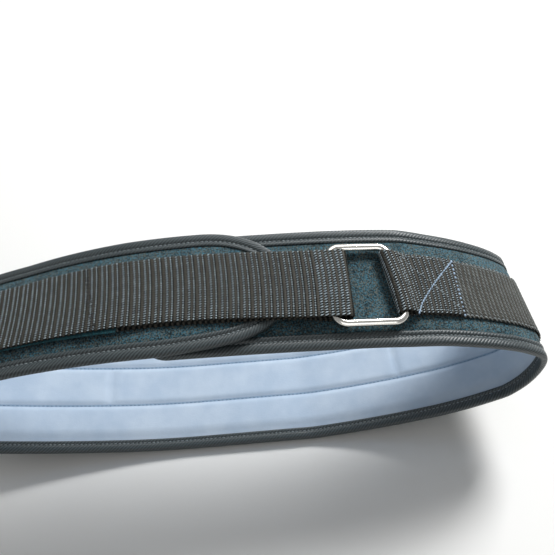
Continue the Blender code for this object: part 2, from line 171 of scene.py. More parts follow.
@dataclass
class PaddedStrip:
    """The padded strip's loop and the places on it, in strip coordinates.

    A distance along the strip counts down from the hidden end, through 0 at the middle of
    the back, to the tongue's tip, which lies one turn further round. The front share is
    where the front panel is looked for, and only what lies more than the back share before
    the middle of the back is the raised outer end. Both are parts of the way round.
    """

    front_width: float = 88.3 * MM
    back_width: float = 100.6 * MM
    lift: float = 5.8 * MM
    lift_from: float = math.radians(222.0)
    lift_to: float = math.radians(200.0)
    tongue_tip_x: float = 26.5 * MM
    tongue_length: float = 60.0 * MM
    tongue_roundness: float = 2.1
    tongue_slimmed: float = 4.0 * MM
    slim_from: float = 92.0 * MM
    slim_to: float = 42.0 * MM
    hidden_end_x: float = -76.0 * MM
    hidden_corner: float = 20.0 * MM
    front_share: tuple[float, float] = (0.30, 0.72)
    back_share: float = 0.15

    def __post_init__(self) -> None:
        ends = np.array([(math.radians(row.heading), math.radians(row.flare), row.drift)
                         for row in LOOP])
        self.before = np.vstack([[0.0, 0.0, LOOP[-1].drift], ends[:-1]])
        self.change = ends - self.before
        self.lengths = np.array([row.length for row in LOOP])
        chords = self._chord(self.before[:, 0], self.change[:, 0])
        missing = self.lengths == 0.0
        self.lengths[missing] = np.linalg.solve(chords[missing].T, -self.lengths @ chords)
        self.starts = np.concatenate([[0.0], np.cumsum(self.lengths)[:-1]])
        self.round = float(self.lengths.sum())
        runs = chords * self.lengths[:, None]
        self.corners = np.vstack([[0.0, 0.0], np.cumsum(runs, axis=0)[:-1]])
        self.shift = np.zeros(3)
        self.hidden_end = self.front_distance(self.hidden_end_x)
        self.tongue_tip = self.front_distance(self.tongue_tip_x) - self.round

    @staticmethod
    def _chord(heading: np.ndarray, turn: np.ndarray) -> np.ndarray:
        """The mean direction in X and Z of arcs that start at a heading and turn."""
        way = np.stack([np.cos(heading + turn / 2.0), np.sin(heading + turn / 2.0)], -1)
        return np.sinc(turn / (2.0 * np.pi))[..., None] * way

    def spot(self, along: np.ndarray) -> tuple[np.ndarray, ...]:
        """The loop at distances along it.

        Args:
            along: distances along the strip.

        Returns:
            X, Z, heading, flare and drift, an array of each.
        """
        left = np.mod(along, self.round)
        row = np.clip(np.searchsorted(self.starts, left, side="right") - 1, 0, len(LOOP) - 1)
        run = left - self.starts[row]
        part = run / self.lengths[row]
        values = self.before[row] + self.change[row] * part[..., None]
        chord = self._chord(self.before[row, 0], self.change[row, 0] * part) * run[..., None]
        return tuple(np.moveaxis(np.concatenate([self.corners[row] + chord, values], -1), -1, 0))

    def place(self, along: Any, across: Any, height: Any) -> np.ndarray:
        """Points in space for strip coordinates.

        Args:
            along: distance along the strip.
            across: distance from its middle, towards the far rim.
            height: distance out of the outer fabric of the loop's inner layer.

        Returns:
            An array of points with the same shape as the arguments.
        """
        along, across, height = np.broadcast_arrays(*map(np.asarray, (along, across, height)))
        x, z, heading, flare, drift = self.spot(along.astype(float))
        out = height * np.cos(flare) - across * np.sin(flare)
        y = across * np.cos(flare) + height * np.sin(flare) + drift
        return np.stack([x + np.sin(heading) * out, y, z - np.cos(heading) * out], -1) + self.shift

    def raised(self, along: Any) -> np.ndarray:
        """How far the strip's outer end stands over its inner end.

        Args:
            along: distances along the strip.

        Returns:
            The rise at each.
        """
        along = np.asarray(along, float)
        heading = self.spot(along)[2]
        rise = self.lift * smooth((self.lift_from - heading) / (self.lift_from - self.lift_to))
        return np.where(along > -self.back_share * self.round, 0.0, rise)

    def slimmed(self, along: Any, across: Any) -> np.ndarray:
        """The place across the strip, with the tongue's near rim cut back towards the far one.

        Args:
            along: distances along the strip.
            across: places across it as if it weren't cut back.

        Returns:
            The places across it.
        """
        half = self.width(along) / 2
        from_tip = np.asarray(along, float) - self.tongue_tip
        fade = smooth((self.slim_from - from_tip) / (self.slim_from - self.slim_to))
        return across + self.tongue_slimmed * fade * (half - across) / (2 * half)

    def rimmed(self, along: Any, across: Any, height: Any) -> np.ndarray:
        """Points on the padded strip itself, with the tongue slimmed and the outer end raised."""
        return self.place(along, self.slimmed(along, across), height + self.raised(along))

    def line(self, along: Any, across: Any, height: float) -> Line:
        """A line on the padded strip.

        Args:
            along: distances along it.
            across: distances from its middle.
            height: distance out of its outer fabric.

        Returns:
            The line, with the way out of the loop at each point.
        """
        along, across = np.broadcast_arrays(np.asarray(along, float), np.asarray(across, float))
        points = self.rimmed(along, across, height)
        return Line(points, unit(self.rimmed(along, across, height + MM) - points))

    def width(self, along: Any) -> np.ndarray:
        """The strip's width, which is broad over the back and narrower past the hips.

        Args:
            along: distances along the strip.

        Returns:
            The width at each.
        """
        heading = self.spot(np.asarray(along, float))[2]
        off_back = np.minimum(heading, 2.0 * math.pi - heading)
        narrower = self.front_width - self.back_width
        return self.back_width + narrower * smooth(off_back / (math.pi / 2))

    def front_distance(self, x: float) -> float:
        """The distance round the loop where the front panel passes a given X."""
        marks = np.linspace(*(share * self.round for share in self.front_share), 20000)
        return float(np.interp(-x, -self.spot(marks)[0], marks))

    def outline(self, step: float) -> tuple[np.ndarray, np.ndarray]:
        """Half of the strip's outline, from the hidden end's middle to the tongue's tip.

        Args:
            step: the distance between points.

        Returns:
            The points as (along, across) and the way inwards from each.
        """
        turn = np.linspace(0.0, math.pi / 2, 40)
        square = self.width(self.hidden_end) / 2 - self.hidden_corner
        corner = np.stack([self.hidden_end - self.hidden_corner * (1.0 - np.cos(turn)),
                           square + self.hidden_corner * np.sin(turn)], -1)
        tongue_start = self.tongue_tip + self.tongue_length
        side = np.linspace(self.hidden_end - self.hidden_corner, tongue_start, 1200)[1:-1]
        sides = np.stack([side, self.width(side) / 2], -1)
        power = 2.0 / self.tongue_roundness
        fine = np.linspace(0.0, math.pi / 2, 200)
        half = self.width(tongue_start) / 2
        tongue = np.stack([tongue_start - self.tongue_length * np.sin(fine) ** power,
                           half * np.clip(np.cos(fine), 0.0, 1.0) ** power], -1)
        points = np.vstack([[self.hidden_end, 0.0], corner, sides, tongue[:-1],
                            [self.tongue_tip, 0.0]])
        marks = lengths_along(points)
        even = columns_at(np.linspace(0.0, marks[-1], int(marks[-1] / step) + 1), marks, points)
        run = unit(np.gradient(even, axis=0))
        inwards = np.stack([-run[:, 1], run[:, 0]], -1)
        inwards[[0, -1]] = (-1.0, 0.0), (1.0, 0.0)
        return even, inwards


def mesh_object(name: str, mesh: bpy.types.Mesh) -> bpy.types.Object:
    """Put a mesh in the scene.

    Args:
        name: the object's name.
        mesh: what it holds.

    Returns:
        The object, at the origin.
    """
    piece = bpy.data.objects.new(name, mesh)
    bpy.context.scene.collection.objects.link(piece)
    return piece


def swept(name: str, points: np.ndarray, uv: np.ndarray, closed: bool = False,
          marks: dict[str, np.ndarray] | None = None) -> bpy.types.Object:
    """A closed skin through rings of points, capped at its ends unless closed.

    Args:
        name: the object's name.
        points: rings of points, as (ring, point, 3).
        uv: metres along and round the skin, as (ring + closed, point + 1, 2).
        closed: whether the last ring joins the first.
        marks: named values for each point, as (ring, point).

    Returns:
        The object, smooth, with its map named weave.
    """
    rings, size = points.shape[:2]
    spans = rings if closed else rings - 1
    ring, spot = np.meshgrid(np.arange(spans), np.arange(size), indexing="ij")
    after_ring, after_spot = (ring + 1) % rings, (spot + 1) % size
    faces = np.stack([ring * size + spot, after_ring * size + spot,
                      after_ring * size + after_spot, ring * size + after_spot], -1).reshape(-1, 4)
    coords = np.stack([uv[ring, spot], uv[ring + 1, spot], uv[ring + 1, spot + 1],
                       uv[ring, spot + 1]], 2).reshape(-1, 2)
    mesh = bpy.data.meshes.new(name)
    mesh.from_pydata(points.reshape(-1, 3), [], faces.tolist())
    mesh.uv_layers.new(name="weave").data.foreach_set("uv", coords.astype(np.float32).ravel())
    for key, values in (marks or {}).items():
        layer = mesh.attributes.new(key, "FLOAT", "POINT")
        layer.data.foreach_set("value", values.astype(np.float32).ravel())
    work = bmesh.new()
    work.from_mesh(mesh)
    if not closed:
        work.verts.ensure_lookup_table()
        for start in (0, (rings - 1) * size):
            work.faces.new([work.verts[start + index] for index in range(size)])
    bmesh.ops.remove_doubles(work, verts=work.verts, dist=1e-6)
    bmesh.ops.dissolve_degenerate(work, edges=work.edges, dist=1e-7)
    bmesh.ops.recalc_face_normals(work, faces=work.faces)
    work.to_mesh(mesh)
    work.free()
    mesh.shade_smooth()
    return mesh_object(name, mesh)


def back_to_start(points: np.ndarray) -> np.ndarray:
    """Points with the first one again at their end."""
    return np.vstack([points, points[:1]])


def grid_uv(run: np.ndarray, way_round: np.ndarray) -> np.ndarray:
    """The map of a skin, from the metres along it and round it."""
    return np.stack(np.broadcast_arrays(run[:, None], way_round[None, :]), -1)


def linear(code: str) -> tuple[float, float, float, float]:
    """Turn a colour linear.

    Args:
        code: the sRGB colour in hex.

    Returns:
        Linear red, green, blue and alpha.
    """
    parts = [int(code.lstrip("#")[index:index + 2], 16) / 255.0 for index in (0, 2, 4)]
    red, green, blue = (part / 12.92 if part <= 0.04045 else ((part + 0.055) / 1.055) ** 2.4
                        for part in parts)
    return red, green, blue, 1.0


def feed(tree: bpy.types.NodeTree, socket: bpy.types.NodeSocket, value: Any) -> None:
    """Give an input a value, or link it to a socket or to a node's first output in use.

    Args:
        tree: the tree that the input is in.
        socket: the input.
        value: a value, socket or node.
    """
    if isinstance(value, bpy.types.Node):
        value = next(output for output in value.outputs if output.enabled)
    if isinstance(value, bpy.types.NodeSocket):
        tree.links.new(value, socket)
    else:
        socket.default_value = value


def add_node(tree: bpy.types.NodeTree, kind: str, inputs: dict[Any, Any] | tuple[Any, ...] = (),
             **settings: Any) -> bpy.types.Node:
    """Add a node with its settings and links.

    Args:
        tree: the tree that it goes into.
        kind: the node's type name.
        inputs: a value, socket or node for each input, by name or in their order.
        settings: the node's own properties.

    Returns:
        The new node.
    """
    node = tree.nodes.new(kind)
    for key, value in settings.items():
        setattr(node, key, value)
    for key, value in inputs.items() if isinstance(inputs, dict) else enumerate(inputs):
        feed(tree, node.inputs[key], value)
    return node


@dataclass(frozen=True)
class Finish:
    """A finish that a piece is dressed in."""

    name: str
    color: str
    roughness: float

    def material(self) -> bpy.types.Material:
        """The finish's material.

        Returns:
            The material, made the first time that it is asked for.
        """
        known = bpy.data.materials.get(self.name)
        if known:
            return known
        material = bpy.data.materials.new(self.name)
        material.use_nodes = True
        tree = material.node_tree
        inputs = tree.nodes["Principled BSDF"].inputs
        inputs["Base Color"].default_value = linear(self.color)
        inputs["Roughness"].default_value = self.roughness
        for key, value in self.draw(partial(add_node, tree)).items():
            feed(tree, inputs[key], value)
        return material

    def draw(self, add: AddNode) -> dict[str, Any]:
        """Draw the finish's pattern and return what the shader's inputs take."""
        return {}

    def dress(self, piece: bpy.types.Object) -> bpy.types.Object:
        """Give a piece this finish alone.

        Args:
            piece: what is dressed.

        Returns:
            The same piece.
        """
        piece.data.materials.clear()
        piece.data.materials.append(self.material())
        return piece


@dataclass(frozen=True)
class HeatheredJersey(Finish):
    """Polyester jersey or pile knit of dark, teal and drab yarns: matt and finely flecked."""

    fleck_color: str
    drab_color: str
    fleck: float = 1.15 * MM
    cloud: float = 12.0 * MM
    relief: float = 0.20 * MM

    def draw(self, add: AddNode) -> dict[str, Any]:
        """Flecks of lighter yarn over the dark ground, faint clouds and a knitted grain.

        A real fleck is one loop of a fine knit. It is drawn coarser so that it shows.

        Args:
            add: adds a node to the material's tree.

        Returns:
            What the shader's inputs take.
        """
        spot = add("ShaderNodeTexCoord").outputs["Object"]
        fleck = add("ShaderNodeTexNoise", {"Vector": spot, "Scale": 1.0 / self.fleck,
                                           "Detail": 2.0, "Roughness": 0.7})
        cloud = add("ShaderNodeTexNoise", {"Vector": spot, "Scale": 1.0 / self.cloud,
                                           "Detail": 2.0})
        both = add("ShaderNodeMath", (cloud, 0.2, fleck), operation="MULTIPLY_ADD")
        ramp = add("ShaderNodeMapRange", {"Value": both, "From Min": 0.47, "From Max": 0.74})
        blue = add("ShaderNodeSeparateColor", {"Color": fleck.outputs["Color"]}).outputs["Blue"]
        drab = add("ShaderNodeMapRange", {"Value": blue, "From Min": 0.46, "From Max": 0.54})
        yarn = add("ShaderNodeMix", {"Factor": drab, "A": linear(self.fleck_color),
                                     "B": linear(self.drab_color)}, data_type="RGBA")
        mix = add("ShaderNodeMix", {"Factor": ramp, "A": linear(self.color), "B": yarn},
                  data_type="RGBA")
        bump = add("ShaderNodeBump", {"Height": fleck, "Strength": 0.7, "Distance": self.relief})
        return {"Base Color": mix, "Normal": bump, "Specular IOR Level": 0.12,
                "Sheen Weight": 0.08, "Sheen Roughness": 0.5}


@dataclass(frozen=True)
class BrushedTricot(Finish):
    """Brushed polyester tricot, laminated to the foam: pale, matt and slightly mottled."""

    shade_color: str
    seam_shade_color: str = "#5E7F9C"
    mottle: float = 22.0 * MM
    nap: float = 1.2 * MM
    relief: float = 0.18 * MM

    def draw(self, add: AddNode) -> dict[str, Any]:
        """Soft patches where the nap lies differently, its grain, and painted shade in the creases
        of the seams.

        Args:
            add: adds a node to the material's tree.

        Returns:
            What the shader's inputs take.
        """
        spot = add("ShaderNodeTexCoord").outputs["Object"]
        patch = add("ShaderNodeTexNoise", {"Vector": spot, "Scale": 1.0 / self.mottle,
                                           "Detail": 3.0, "Roughness": 0.6})
        ramp = add("ShaderNodeMapRange", {"Value": patch, "From Min": 0.35, "From Max": 0.65,
                                          "To Max": 0.6})
        mottled = add("ShaderNodeMix", {"Factor": ramp, "A": linear(self.color),
                                        "B": linear(self.shade_color)}, data_type="RGBA")
        # Painted shade: the lining is coloured darker where the quilting pulls it into a crease.
        seam = add("ShaderNodeAttribute", attribute_name="seam").outputs["Fac"]
        deep = add("ShaderNodeMapRange", {"Value": seam, "From Min": 0.72, "From Max": 1.0,
                                          "To Max": 0.7})
        mix = add("ShaderNodeMix", {"Factor": deep, "A": mottled, "B": linear(self.seam_shade_color)},
                  data_type="RGBA")
        nap = add("ShaderNodeTexNoise", {"Vector": spot, "Scale": 1.0 / self.nap, "Detail": 3.0})
        bump = add("ShaderNodeBump", {"Height": nap, "Strength": 0.5, "Distance": self.relief})
        return {"Base Color": mix, "Normal": bump, "Specular IOR Level": 0.2, "Sheen Weight": 0.25}


@dataclass(frozen=True)
class TwillTape(Finish):
    """Woven polyester binding tape: a fine diagonal rib with a faint sheen."""

    valley_shade_color: str = "#14181A"
    pitch: float = 2.6 * MM
    relief: float = 0.22 * MM

    def draw(self, add: AddNode) -> dict[str, Any]:
        """The tape's diagonal rib, at about twice its real pitch so that it shows, with painted
        shade in its valleys, and grain.

        Args:
            add: adds a node to the material's tree.

        Returns:
            What the shader's inputs take.
        """
        weave = add("ShaderNodeUVMap", uv_map="weave")
        sized = add("ShaderNodeMapping", {"Vector": weave, "Scale": (1.0 / self.pitch,) * 3})
        wave = add("ShaderNodeTexWave", {"Vector": sized, "Distortion": 0.6, "Detail": 1.0,
                                         "Scale": 0.2 * math.pi}, bands_direction="DIAGONAL")
        grain = add("ShaderNodeTexNoise", {"Vector": sized, "Scale": 1.6, "Detail": 2.0})
        both = add("ShaderNodeMath", (grain, 0.5, wave.outputs["Fac"]), operation="MULTIPLY_ADD")
        ramp = add("ShaderNodeMapRange", {"Value": both, "From Min": -0.1, "From Max": 1.25})
        # Painted shade: the rib's valleys are coloured nearly black, mixed with a random grain of
        # tone.
        tint = add("ShaderNodeMix", {"Factor": ramp, "A": linear(self.valley_shade_color),
                                     "B": linear(self.color)}, data_type="RGBA")
        bump = add("ShaderNodeBump", {"Height": both, "Strength": 0.7, "Distance": self.relief})
        return {"Base Color": tint, "Normal": bump, "Specular IOR Level": 0.4}


@dataclass(frozen=True)
class SpunWebbing(Finish):
    """Woven nylon webbing of twisted yarns: dull grey-brown ribs, with painted shade darkening the
    grooves nearly to black.
    """

    groove_shade_color: str = "#0E1112"
    yarn: float = 1.45 * MM
    relief: float = 0.30 * MM

    def draw(self, add: AddNode) -> dict[str, Any]:
        """Painted shade in the grooves, the ribs' own colour on the crests, the yarns' twist and a
        random change of tone between them.

        Args:
            add: adds a node to the material's tree.

        Returns:
            What the shader's inputs take.
        """
        weave = add("ShaderNodeUVMap", uv_map="weave")
        sized = add("ShaderNodeMapping", {"Vector": weave, "Scale": (1.0 / self.yarn,) * 3})
        twist = add("ShaderNodeTexWave", {"Vector": sized, "Scale": 0.1 * math.pi},
                    bands_direction="Y").outputs["Fac"]
        shade = add("ShaderNodeTexNoise", {"Vector": sized, "Scale": 0.9, "Detail": 2.0})
        # The crest value leaves the ribs' own colour on the crests and paints shade, nearly black,
        # down into the grooves.
        crest = add("ShaderNodeAttribute", attribute_name="crest").outputs["Fac"]
        lit = add("ShaderNodeMapRange", {"Value": crest, "From Min": 0.5, "From Max": 1.0},
                  interpolation_type="SMOOTHSTEP")
        ramp = add("ShaderNodeMapRange", {"Value": shade, "From Min": 0.3, "From Max": 0.7,
                                          "To Min": 0.65, "To Max": 1.0})
        part = add("ShaderNodeMath", (lit, ramp), operation="MULTIPLY")
        tint = add("ShaderNodeMix", {"Factor": part, "A": linear(self.groove_shade_color),
                                     "B": linear(self.color)}, data_type="RGBA")
        bump = add("ShaderNodeBump", {"Height": twist, "Strength": 0.8, "Distance": self.relief})
        return {"Base Color": tint, "Normal": bump, "Specular IOR Level": 0.15}


@dataclass(frozen=True)
class TwistedYarn(Finish):
    """Twisted nylon yarn or polyester sewing thread: a soft gloss, its shade changing by turns."""

    shade_color: str
    turn: float = 1.0 * MM

    def draw(self, add: AddNode) -> dict[str, Any]:
        """The change of shade from turn to turn.

        Args:
            add: adds a node to the material's tree.

        Returns:
            What the shader's inputs take.
        """
        spot = add("ShaderNodeTexCoord").outputs["Object"]
        shade = add("ShaderNodeTexNoise", {"Vector": spot, "Scale": 1.0 / self.turn, "Detail": 2.0})
        ramp = add("ShaderNodeMapRange", {"Value": shade, "From Min": 0.35, "From Max": 0.65})
        return {"Base Color": add("ShaderNodeMix", {"Factor": ramp, "A": linear(self.shade_color),
                                                    "B": linear(self.color)}, data_type="RGBA")}


@dataclass(frozen=True)
class BrightNickel(Finish):
    """Nickel plate on bent steel wire: a faintly warm mirror with very fine polishing marks."""

    marks: float = 0.6 * MM

    def draw(self, add: AddNode) -> dict[str, Any]:
        """Metal, with a fine change of roughness that breaks its reflections.

        Args:
            add: adds a node to the material's tree.

        Returns:
            What the shader's inputs take.
        """
        spot = add("ShaderNodeTexCoord").outputs["Object"]
        wear = add("ShaderNodeTexNoise", {"Vector": spot, "Scale": 1.0 / self.marks, "Detail": 2.0})
        ramp = add("ShaderNodeMapRange", {"Value": wear, "To Min": self.roughness * 0.7,
                                          "To Max": self.roughness * 1.4})
        return {"Metallic": 1.0, "Roughness": ramp}


class Fabric(Enum):
    """The finishes of this belt and of the floor under it."""

    OUTER = HeatheredJersey("outer_fabric_jersey", "#18272D", 0.92, fleck_color="#49788A",
                            drab_color="#666A63")
    LINING = BrushedTricot("lining_brushed_tricot", "#BAC9D9", 0.95, shade_color="#A4B7CC")
    TAPE = TwillTape("binding_twill_tape", "#495356", 0.4)
    WEBBING = SpunWebbing("webbing_ribbed_nylon", "#4A4841", 0.5)
    # The bright yarns are the webbing's own yarn coloured pale, as a painted highlight on its
    # gloss.
    FLOAT = TwistedYarn("webbing_yarn_painted_highlight", "#C0CFD6", 0.38, shade_color="#75868F")
    DRAB_FLOAT = TwistedYarn("webbing_drab_yarn", "#676D6C", 0.5, shade_color="#5D6261")
    PILE = HeatheredJersey("loop_pile_knit", "#23454D", 1.0, fleck_color="#34707C",
                           drab_color="#33555C")
    RING = BrightNickel("ring_bright_nickel", "#F2F0EA", 0.18)
    BLUE_THREAD = TwistedYarn("thread_pale_blue", "#A9C0D8", 0.5, shade_color="#8399B0")
    GREY_THREAD = TwistedYarn("thread_grey", "#95A0A4", 0.5, shade_color="#5C666A")
    DARK_THREAD = TwistedYarn("thread_dark", "#23282A", 0.5, shade_color="#15191A")
    SEAM_THREAD = TwistedYarn("thread_slate_blue", "#7791AC", 0.6, shade_color="#5F7B97")
    PAPER = Finish("floor_white_paper", "#F6F6F4", 0.9)


class GrowthTree:
    """A Geometry Nodes tree with named sizes, which ends in realized, dressed geometry."""

    name: str
    sizes: dict[str, float]

    def __init__(self) -> None:
        self.tree = bpy.data.node_groups.new(self.name, "GeometryNodeTree")
        self.add = partial(add_node, self.tree)
        kinds = {"Geometry": "Geometry", **dict.fromkeys(self.sizes, "Float"), "Seed": "Int",
                 "Material": "Material"}
        values = {**self.sizes, "Seed": 1}
        new_socket = self.tree.interface.new_socket
        for name, kind in kinds.items():
            socket = new_socket(name, in_out="INPUT", socket_type="NodeSocket" + kind)
            if name in values:
                socket.default_value = values[name]
        new_socket("Geometry", in_out="OUTPUT", socket_type="NodeSocketGeometry")
        given = self.add("NodeGroupInput").outputs
        real = self.add("GeometryNodeRealizeInstances", {"Geometry": self.shape(given)})
        soft = self.add("GeometryNodeSetShadeSmooth", {"Geometry": real})
        dressed = self.add("GeometryNodeSetMaterial", {"Geometry": soft,
                                                       "Material": given["Material"]})
        self.add("NodeGroupOutput", {"Geometry": dressed})

    def shape(self, given: Any) -> bpy.types.Node:
        """Draw the tree from its inputs and return the node that gives its geometry."""
        raise NotImplementedError

    def grow(self, piece: bpy.types.Object, finish: Finish, seed: int = 1,
             **sizes: float) -> bpy.types.Object:
        """Run the tree on a piece and keep the result as the piece's own plain mesh.

        Args:
            piece: the object with the lines or the skin that the tree reads.
            finish: what the result is dressed in.
            seed: the seed of its random changes.
            sizes: the tree's sizes by name, with _ for a space.

        Returns:
            The same object, with no modifier left.
        """
        values = {name.replace("_", " ").capitalize(): value for name, value in sizes.items()}
        values |= {"Seed": seed, "Material": finish.material()}
        modifier = piece.modifiers.new("grow", "NODES")
        modifier.node_group = self.tree
        for item in self.tree.interface.items_tree:
            if item.in_out == "INPUT" and item.name in values:
                modifier[item.identifier] = values[item.name]
        bpy.context.view_layer.update()
        depsgraph = bpy.context.evaluated_depsgraph_get()
        result = bpy.data.meshes.new_from_object(
            piece.evaluated_get(depsgraph), preserve_all_data_layers=True, depsgraph=depsgraph)
        old = piece.data
        piece.modifiers.clear()
        piece.data = result
        bpy.data.meshes.remove(old)
        return piece


class RowTree(GrowthTree):
    """Small beads set along lines, for stitches and for the yarns between the ribs."""

    name = "bead_rows"
    sizes = {"Pitch": 3.0 * MM, "Bead length": 2.4 * MM, "Bead width": 0.8 * MM,
             "Bead height": 0.5 * MM, "Turn": 0.0, "Size change": 0.08}

    def shape(self, given: Any) -> bpy.types.Node:
        """Beads at an even pitch, standing on the ways up that the lines hold.

        Args:
            given: the tree's inputs.

        Returns:
            The node that gives the beads.
        """
        curve = self.add("GeometryNodeMeshToCurve", {"Mesh": given["Geometry"]})
        even = self.add("GeometryNodeResampleCurve", {"Curve": curve, "Length": given["Pitch"]},
                        mode="LENGTH")
        bead = self.add("GeometryNodeMeshIcoSphere", {"Radius": 0.5, "Subdivisions": 1})
        size = self.add("ShaderNodeCombineXYZ", (given["Bead length"], given["Bead width"],
                                                 given["Bead height"]))
        least, most = (self.add("ShaderNodeMath", (1.0, given["Size change"]), operation=way)
                       for way in ("SUBTRACT", "ADD"))
        change = self.add("FunctionNodeRandomValue", {2: least, 3: most, "Seed": given["Seed"]},
                          data_type="FLOAT")
        scale = self.add("ShaderNodeVectorMath", {0: size, "Scale": change}, operation="SCALE")
        up = self.add("GeometryNodeInputNamedAttribute", {"Name": "up"}, data_type="FLOAT_VECTOR")
        ahead = self.add("GeometryNodeInputTangent")
        stand = self.add("FunctionNodeAxesToRotation", (ahead, up), primary_axis="X",
                         secondary_axis="Z")
        rows = self.add("GeometryNodeInstanceOnPoints", {"Points": even, "Instance": bead,
                                                         "Rotation": stand, "Scale": scale})
        angle = self.add("ShaderNodeCombineXYZ", {"Z": given["Turn"]})
        return self.add("GeometryNodeRotateInstances", {"Instances": rows, "Rotation": angle})


class RibTree(GrowthTree):
    """The ribs of a webbing, raised from the run, side and edge values kept on its points."""

    name = "webbing_ribs"
    sizes = {"Rib pitch": 3.6 * MM, "Rib height": 1.1 * MM, "Bow": -0.3, "Broad share": 0.05,
             "Edge loops": 0.7 * MM}
    fullness = 0.8
    face_level, edge_level = 0.75, 1.0

    def shape(self, given: Any) -> bpy.types.Node:
        """Humps along the run, alternately broad and narrow, kept as the crest value too.

        Args:
            given: the tree's inputs.

        Returns:
            The node that gives the ribbed skin.
        """
        add, broad_share = self.add, given["Broad share"]
        run, side, edge = (add("GeometryNodeInputNamedAttribute", {"Name": name}, data_type="FLOAT")
                           for name in ("run", "side", "edge"))
        count = add("ShaderNodeMath", (run, given["Rib pitch"]), operation="DIVIDE")
        square = add("ShaderNodeMath", (side, side), operation="MULTIPLY")
        bowed = add("ShaderNodeMath", (square, given["Bow"], count), operation="MULTIPLY_ADD")
        half_turns = add("ShaderNodeMath", (bowed, math.pi), operation="MULTIPLY")
        swing = add("ShaderNodeMath", (half_turns,), operation="COSINE")
        broad = add("ShaderNodeMath", (swing, broad_share, bowed), operation="MULTIPLY_ADD")
        uneven = add("ShaderNodeMath", (broad, broad_share), operation="SUBTRACT")
        turned = add("ShaderNodeMath", (uneven, math.pi), operation="MULTIPLY")
        wave = add("ShaderNodeMath", (turned,), operation="SINE")
        hump = add("ShaderNodeMath", (wave,), operation="ABSOLUTE")
        full = add("ShaderNodeMath", (hump, self.fullness), operation="POWER")
        rises = []
        for level, height in ((self.face_level, "Rib height"), (self.edge_level, "Edge loops")):
            above = add("ShaderNodeMath", (full, level), operation="SUBTRACT")
            rises.append(add("ShaderNodeMath", (above, given[height]), operation="MULTIPLY"))
        rise = add("ShaderNodeMix", {"Factor": edge, "A": rises[0], "B": rises[1]},
                   data_type="FLOAT")
        offset = add("ShaderNodeVectorMath", {0: add("GeometryNodeInputNormal"), "Scale": rise},
                     operation="SCALE")
        # The crest value is kept for the webbing's material, which paints shade into the grooves
        # from it.
        kept = add("GeometryNodeStoreNamedAttribute",
                   {"Geometry": given["Geometry"], "Name": "crest", "Value": hump},
                   data_type="FLOAT", domain="POINT")
        return add("GeometryNodeSetPosition", {"Geometry": kept, "Offset": offset})


class TuftTree(GrowthTree):
    """Short loops of pile scattered over the face of a strip that looks up."""

    name = "pile_loops"
    sizes = {"Loops per square metre": 0.6e6, "Loop width": 0.95 * MM, "Loop height": 0.6 * MM,
             "Upward": 0.2}
    smallest, largest = 0.7, 1.1

    def shape(self, given: Any) -> bpy.types.Node:
        """The strip with its loops.

        Args:
            given: the tree's inputs.

        Returns:
            The node that gives both.
        """
        facing = self.add("ShaderNodeSeparateXYZ", (self.add("GeometryNodeInputNormal"),))
        above = self.add("ShaderNodeMath", (facing.outputs["Z"], given["Upward"]),
                         operation="GREATER_THAN")
        spots = self.add("GeometryNodeDistributePointsOnFaces",
                         {"Mesh": given["Geometry"], "Selection": above,
                          "Density": given["Loops per square metre"], "Seed": given["Seed"]})
        loop = self.add("GeometryNodeMeshIcoSphere", {"Radius": 0.5, "Subdivisions": 1})
        size = self.add("ShaderNodeCombineXYZ", (given["Loop width"], given["Loop width"],
                                                 given["Loop height"]))
        change = self.add("FunctionNodeRandomValue",
                          {2: self.smallest, 3: self.largest, "Seed": given["Seed"]},
                          data_type="FLOAT")
        scale = self.add("ShaderNodeVectorMath", {0: size, "Scale": change}, operation="SCALE")
        loops = self.add("GeometryNodeInstanceOnPoints",
                         {"Points": spots, "Instance": loop, "Rotation": spots.outputs["Rotation"],
                          "Scale": scale})
        both = self.add("GeometryNodeJoinGeometry")
        for part in (given["Geometry"], loops):
            feed(self.tree, both.inputs[0], part)
        return both


def joined(pieces: list[bpy.types.Object]) -> bpy.types.Object:
    """Join pieces into one.

    Args:
        pieces: the objects.

    Returns:
        The first of them, which holds them all.
    """
    first = pieces[0]
    with bpy.context.temp_override(active_object=first, selected_editable_objects=pieces,
                                   selected_objects=pieces):
        bpy.ops.object.join()
    return first


class Line(NamedTuple):
    """A row of points on a surface, with the way out of it at each."""

    points: np.ndarray
    ups: np.ndarray


@dataclass(frozen=True)
class Stitch:
    """A row of stitches: its thread, and the size in millimetres of what shows of each.

    A stitch is turned by some degrees, and its size changes by a share from one to the next.
    """

    thread: Fabric
    pitch: float = 3.2
    length: float = 2.5
    width: float = 0.8
    height: float = 0.55
    turn: float = 0.0
    change: float = 0.08

    def sew(self, rows: RowTree, name: str, lines: list[Line]) -> bpy.types.Object:
        """Lay the stitches along lines.

        Args:
            rows: the tree that sets them.
            name: the name of the object while it is made.
            lines: where they run.

        Returns:
            The stitches as one object.
        """
        starts = np.concatenate([[0], np.cumsum([len(line.points) for line in lines])])
        edges = [(spot, spot + 1) for first, last in zip(starts[:-1], starts[1:])
                 for spot in range(int(first), int(last) - 1)]
        mesh = bpy.data.meshes.new(name)
        mesh.from_pydata(np.vstack([line.points for line in lines]).tolist(), edges, [])
        ups = np.vstack([line.ups for line in lines]).astype(np.float32)
        mesh.attributes.new("up", "FLOAT_VECTOR", "POINT").data.foreach_set("vector", ups.ravel())
        return rows.grow(mesh_object(name, mesh), self.thread.value, 3, pitch=self.pitch * MM,
                         bead_length=self.length * MM, bead_width=self.width * MM,
                         bead_height=self.height * MM, turn=math.radians(self.turn),
                         size_change=self.change)


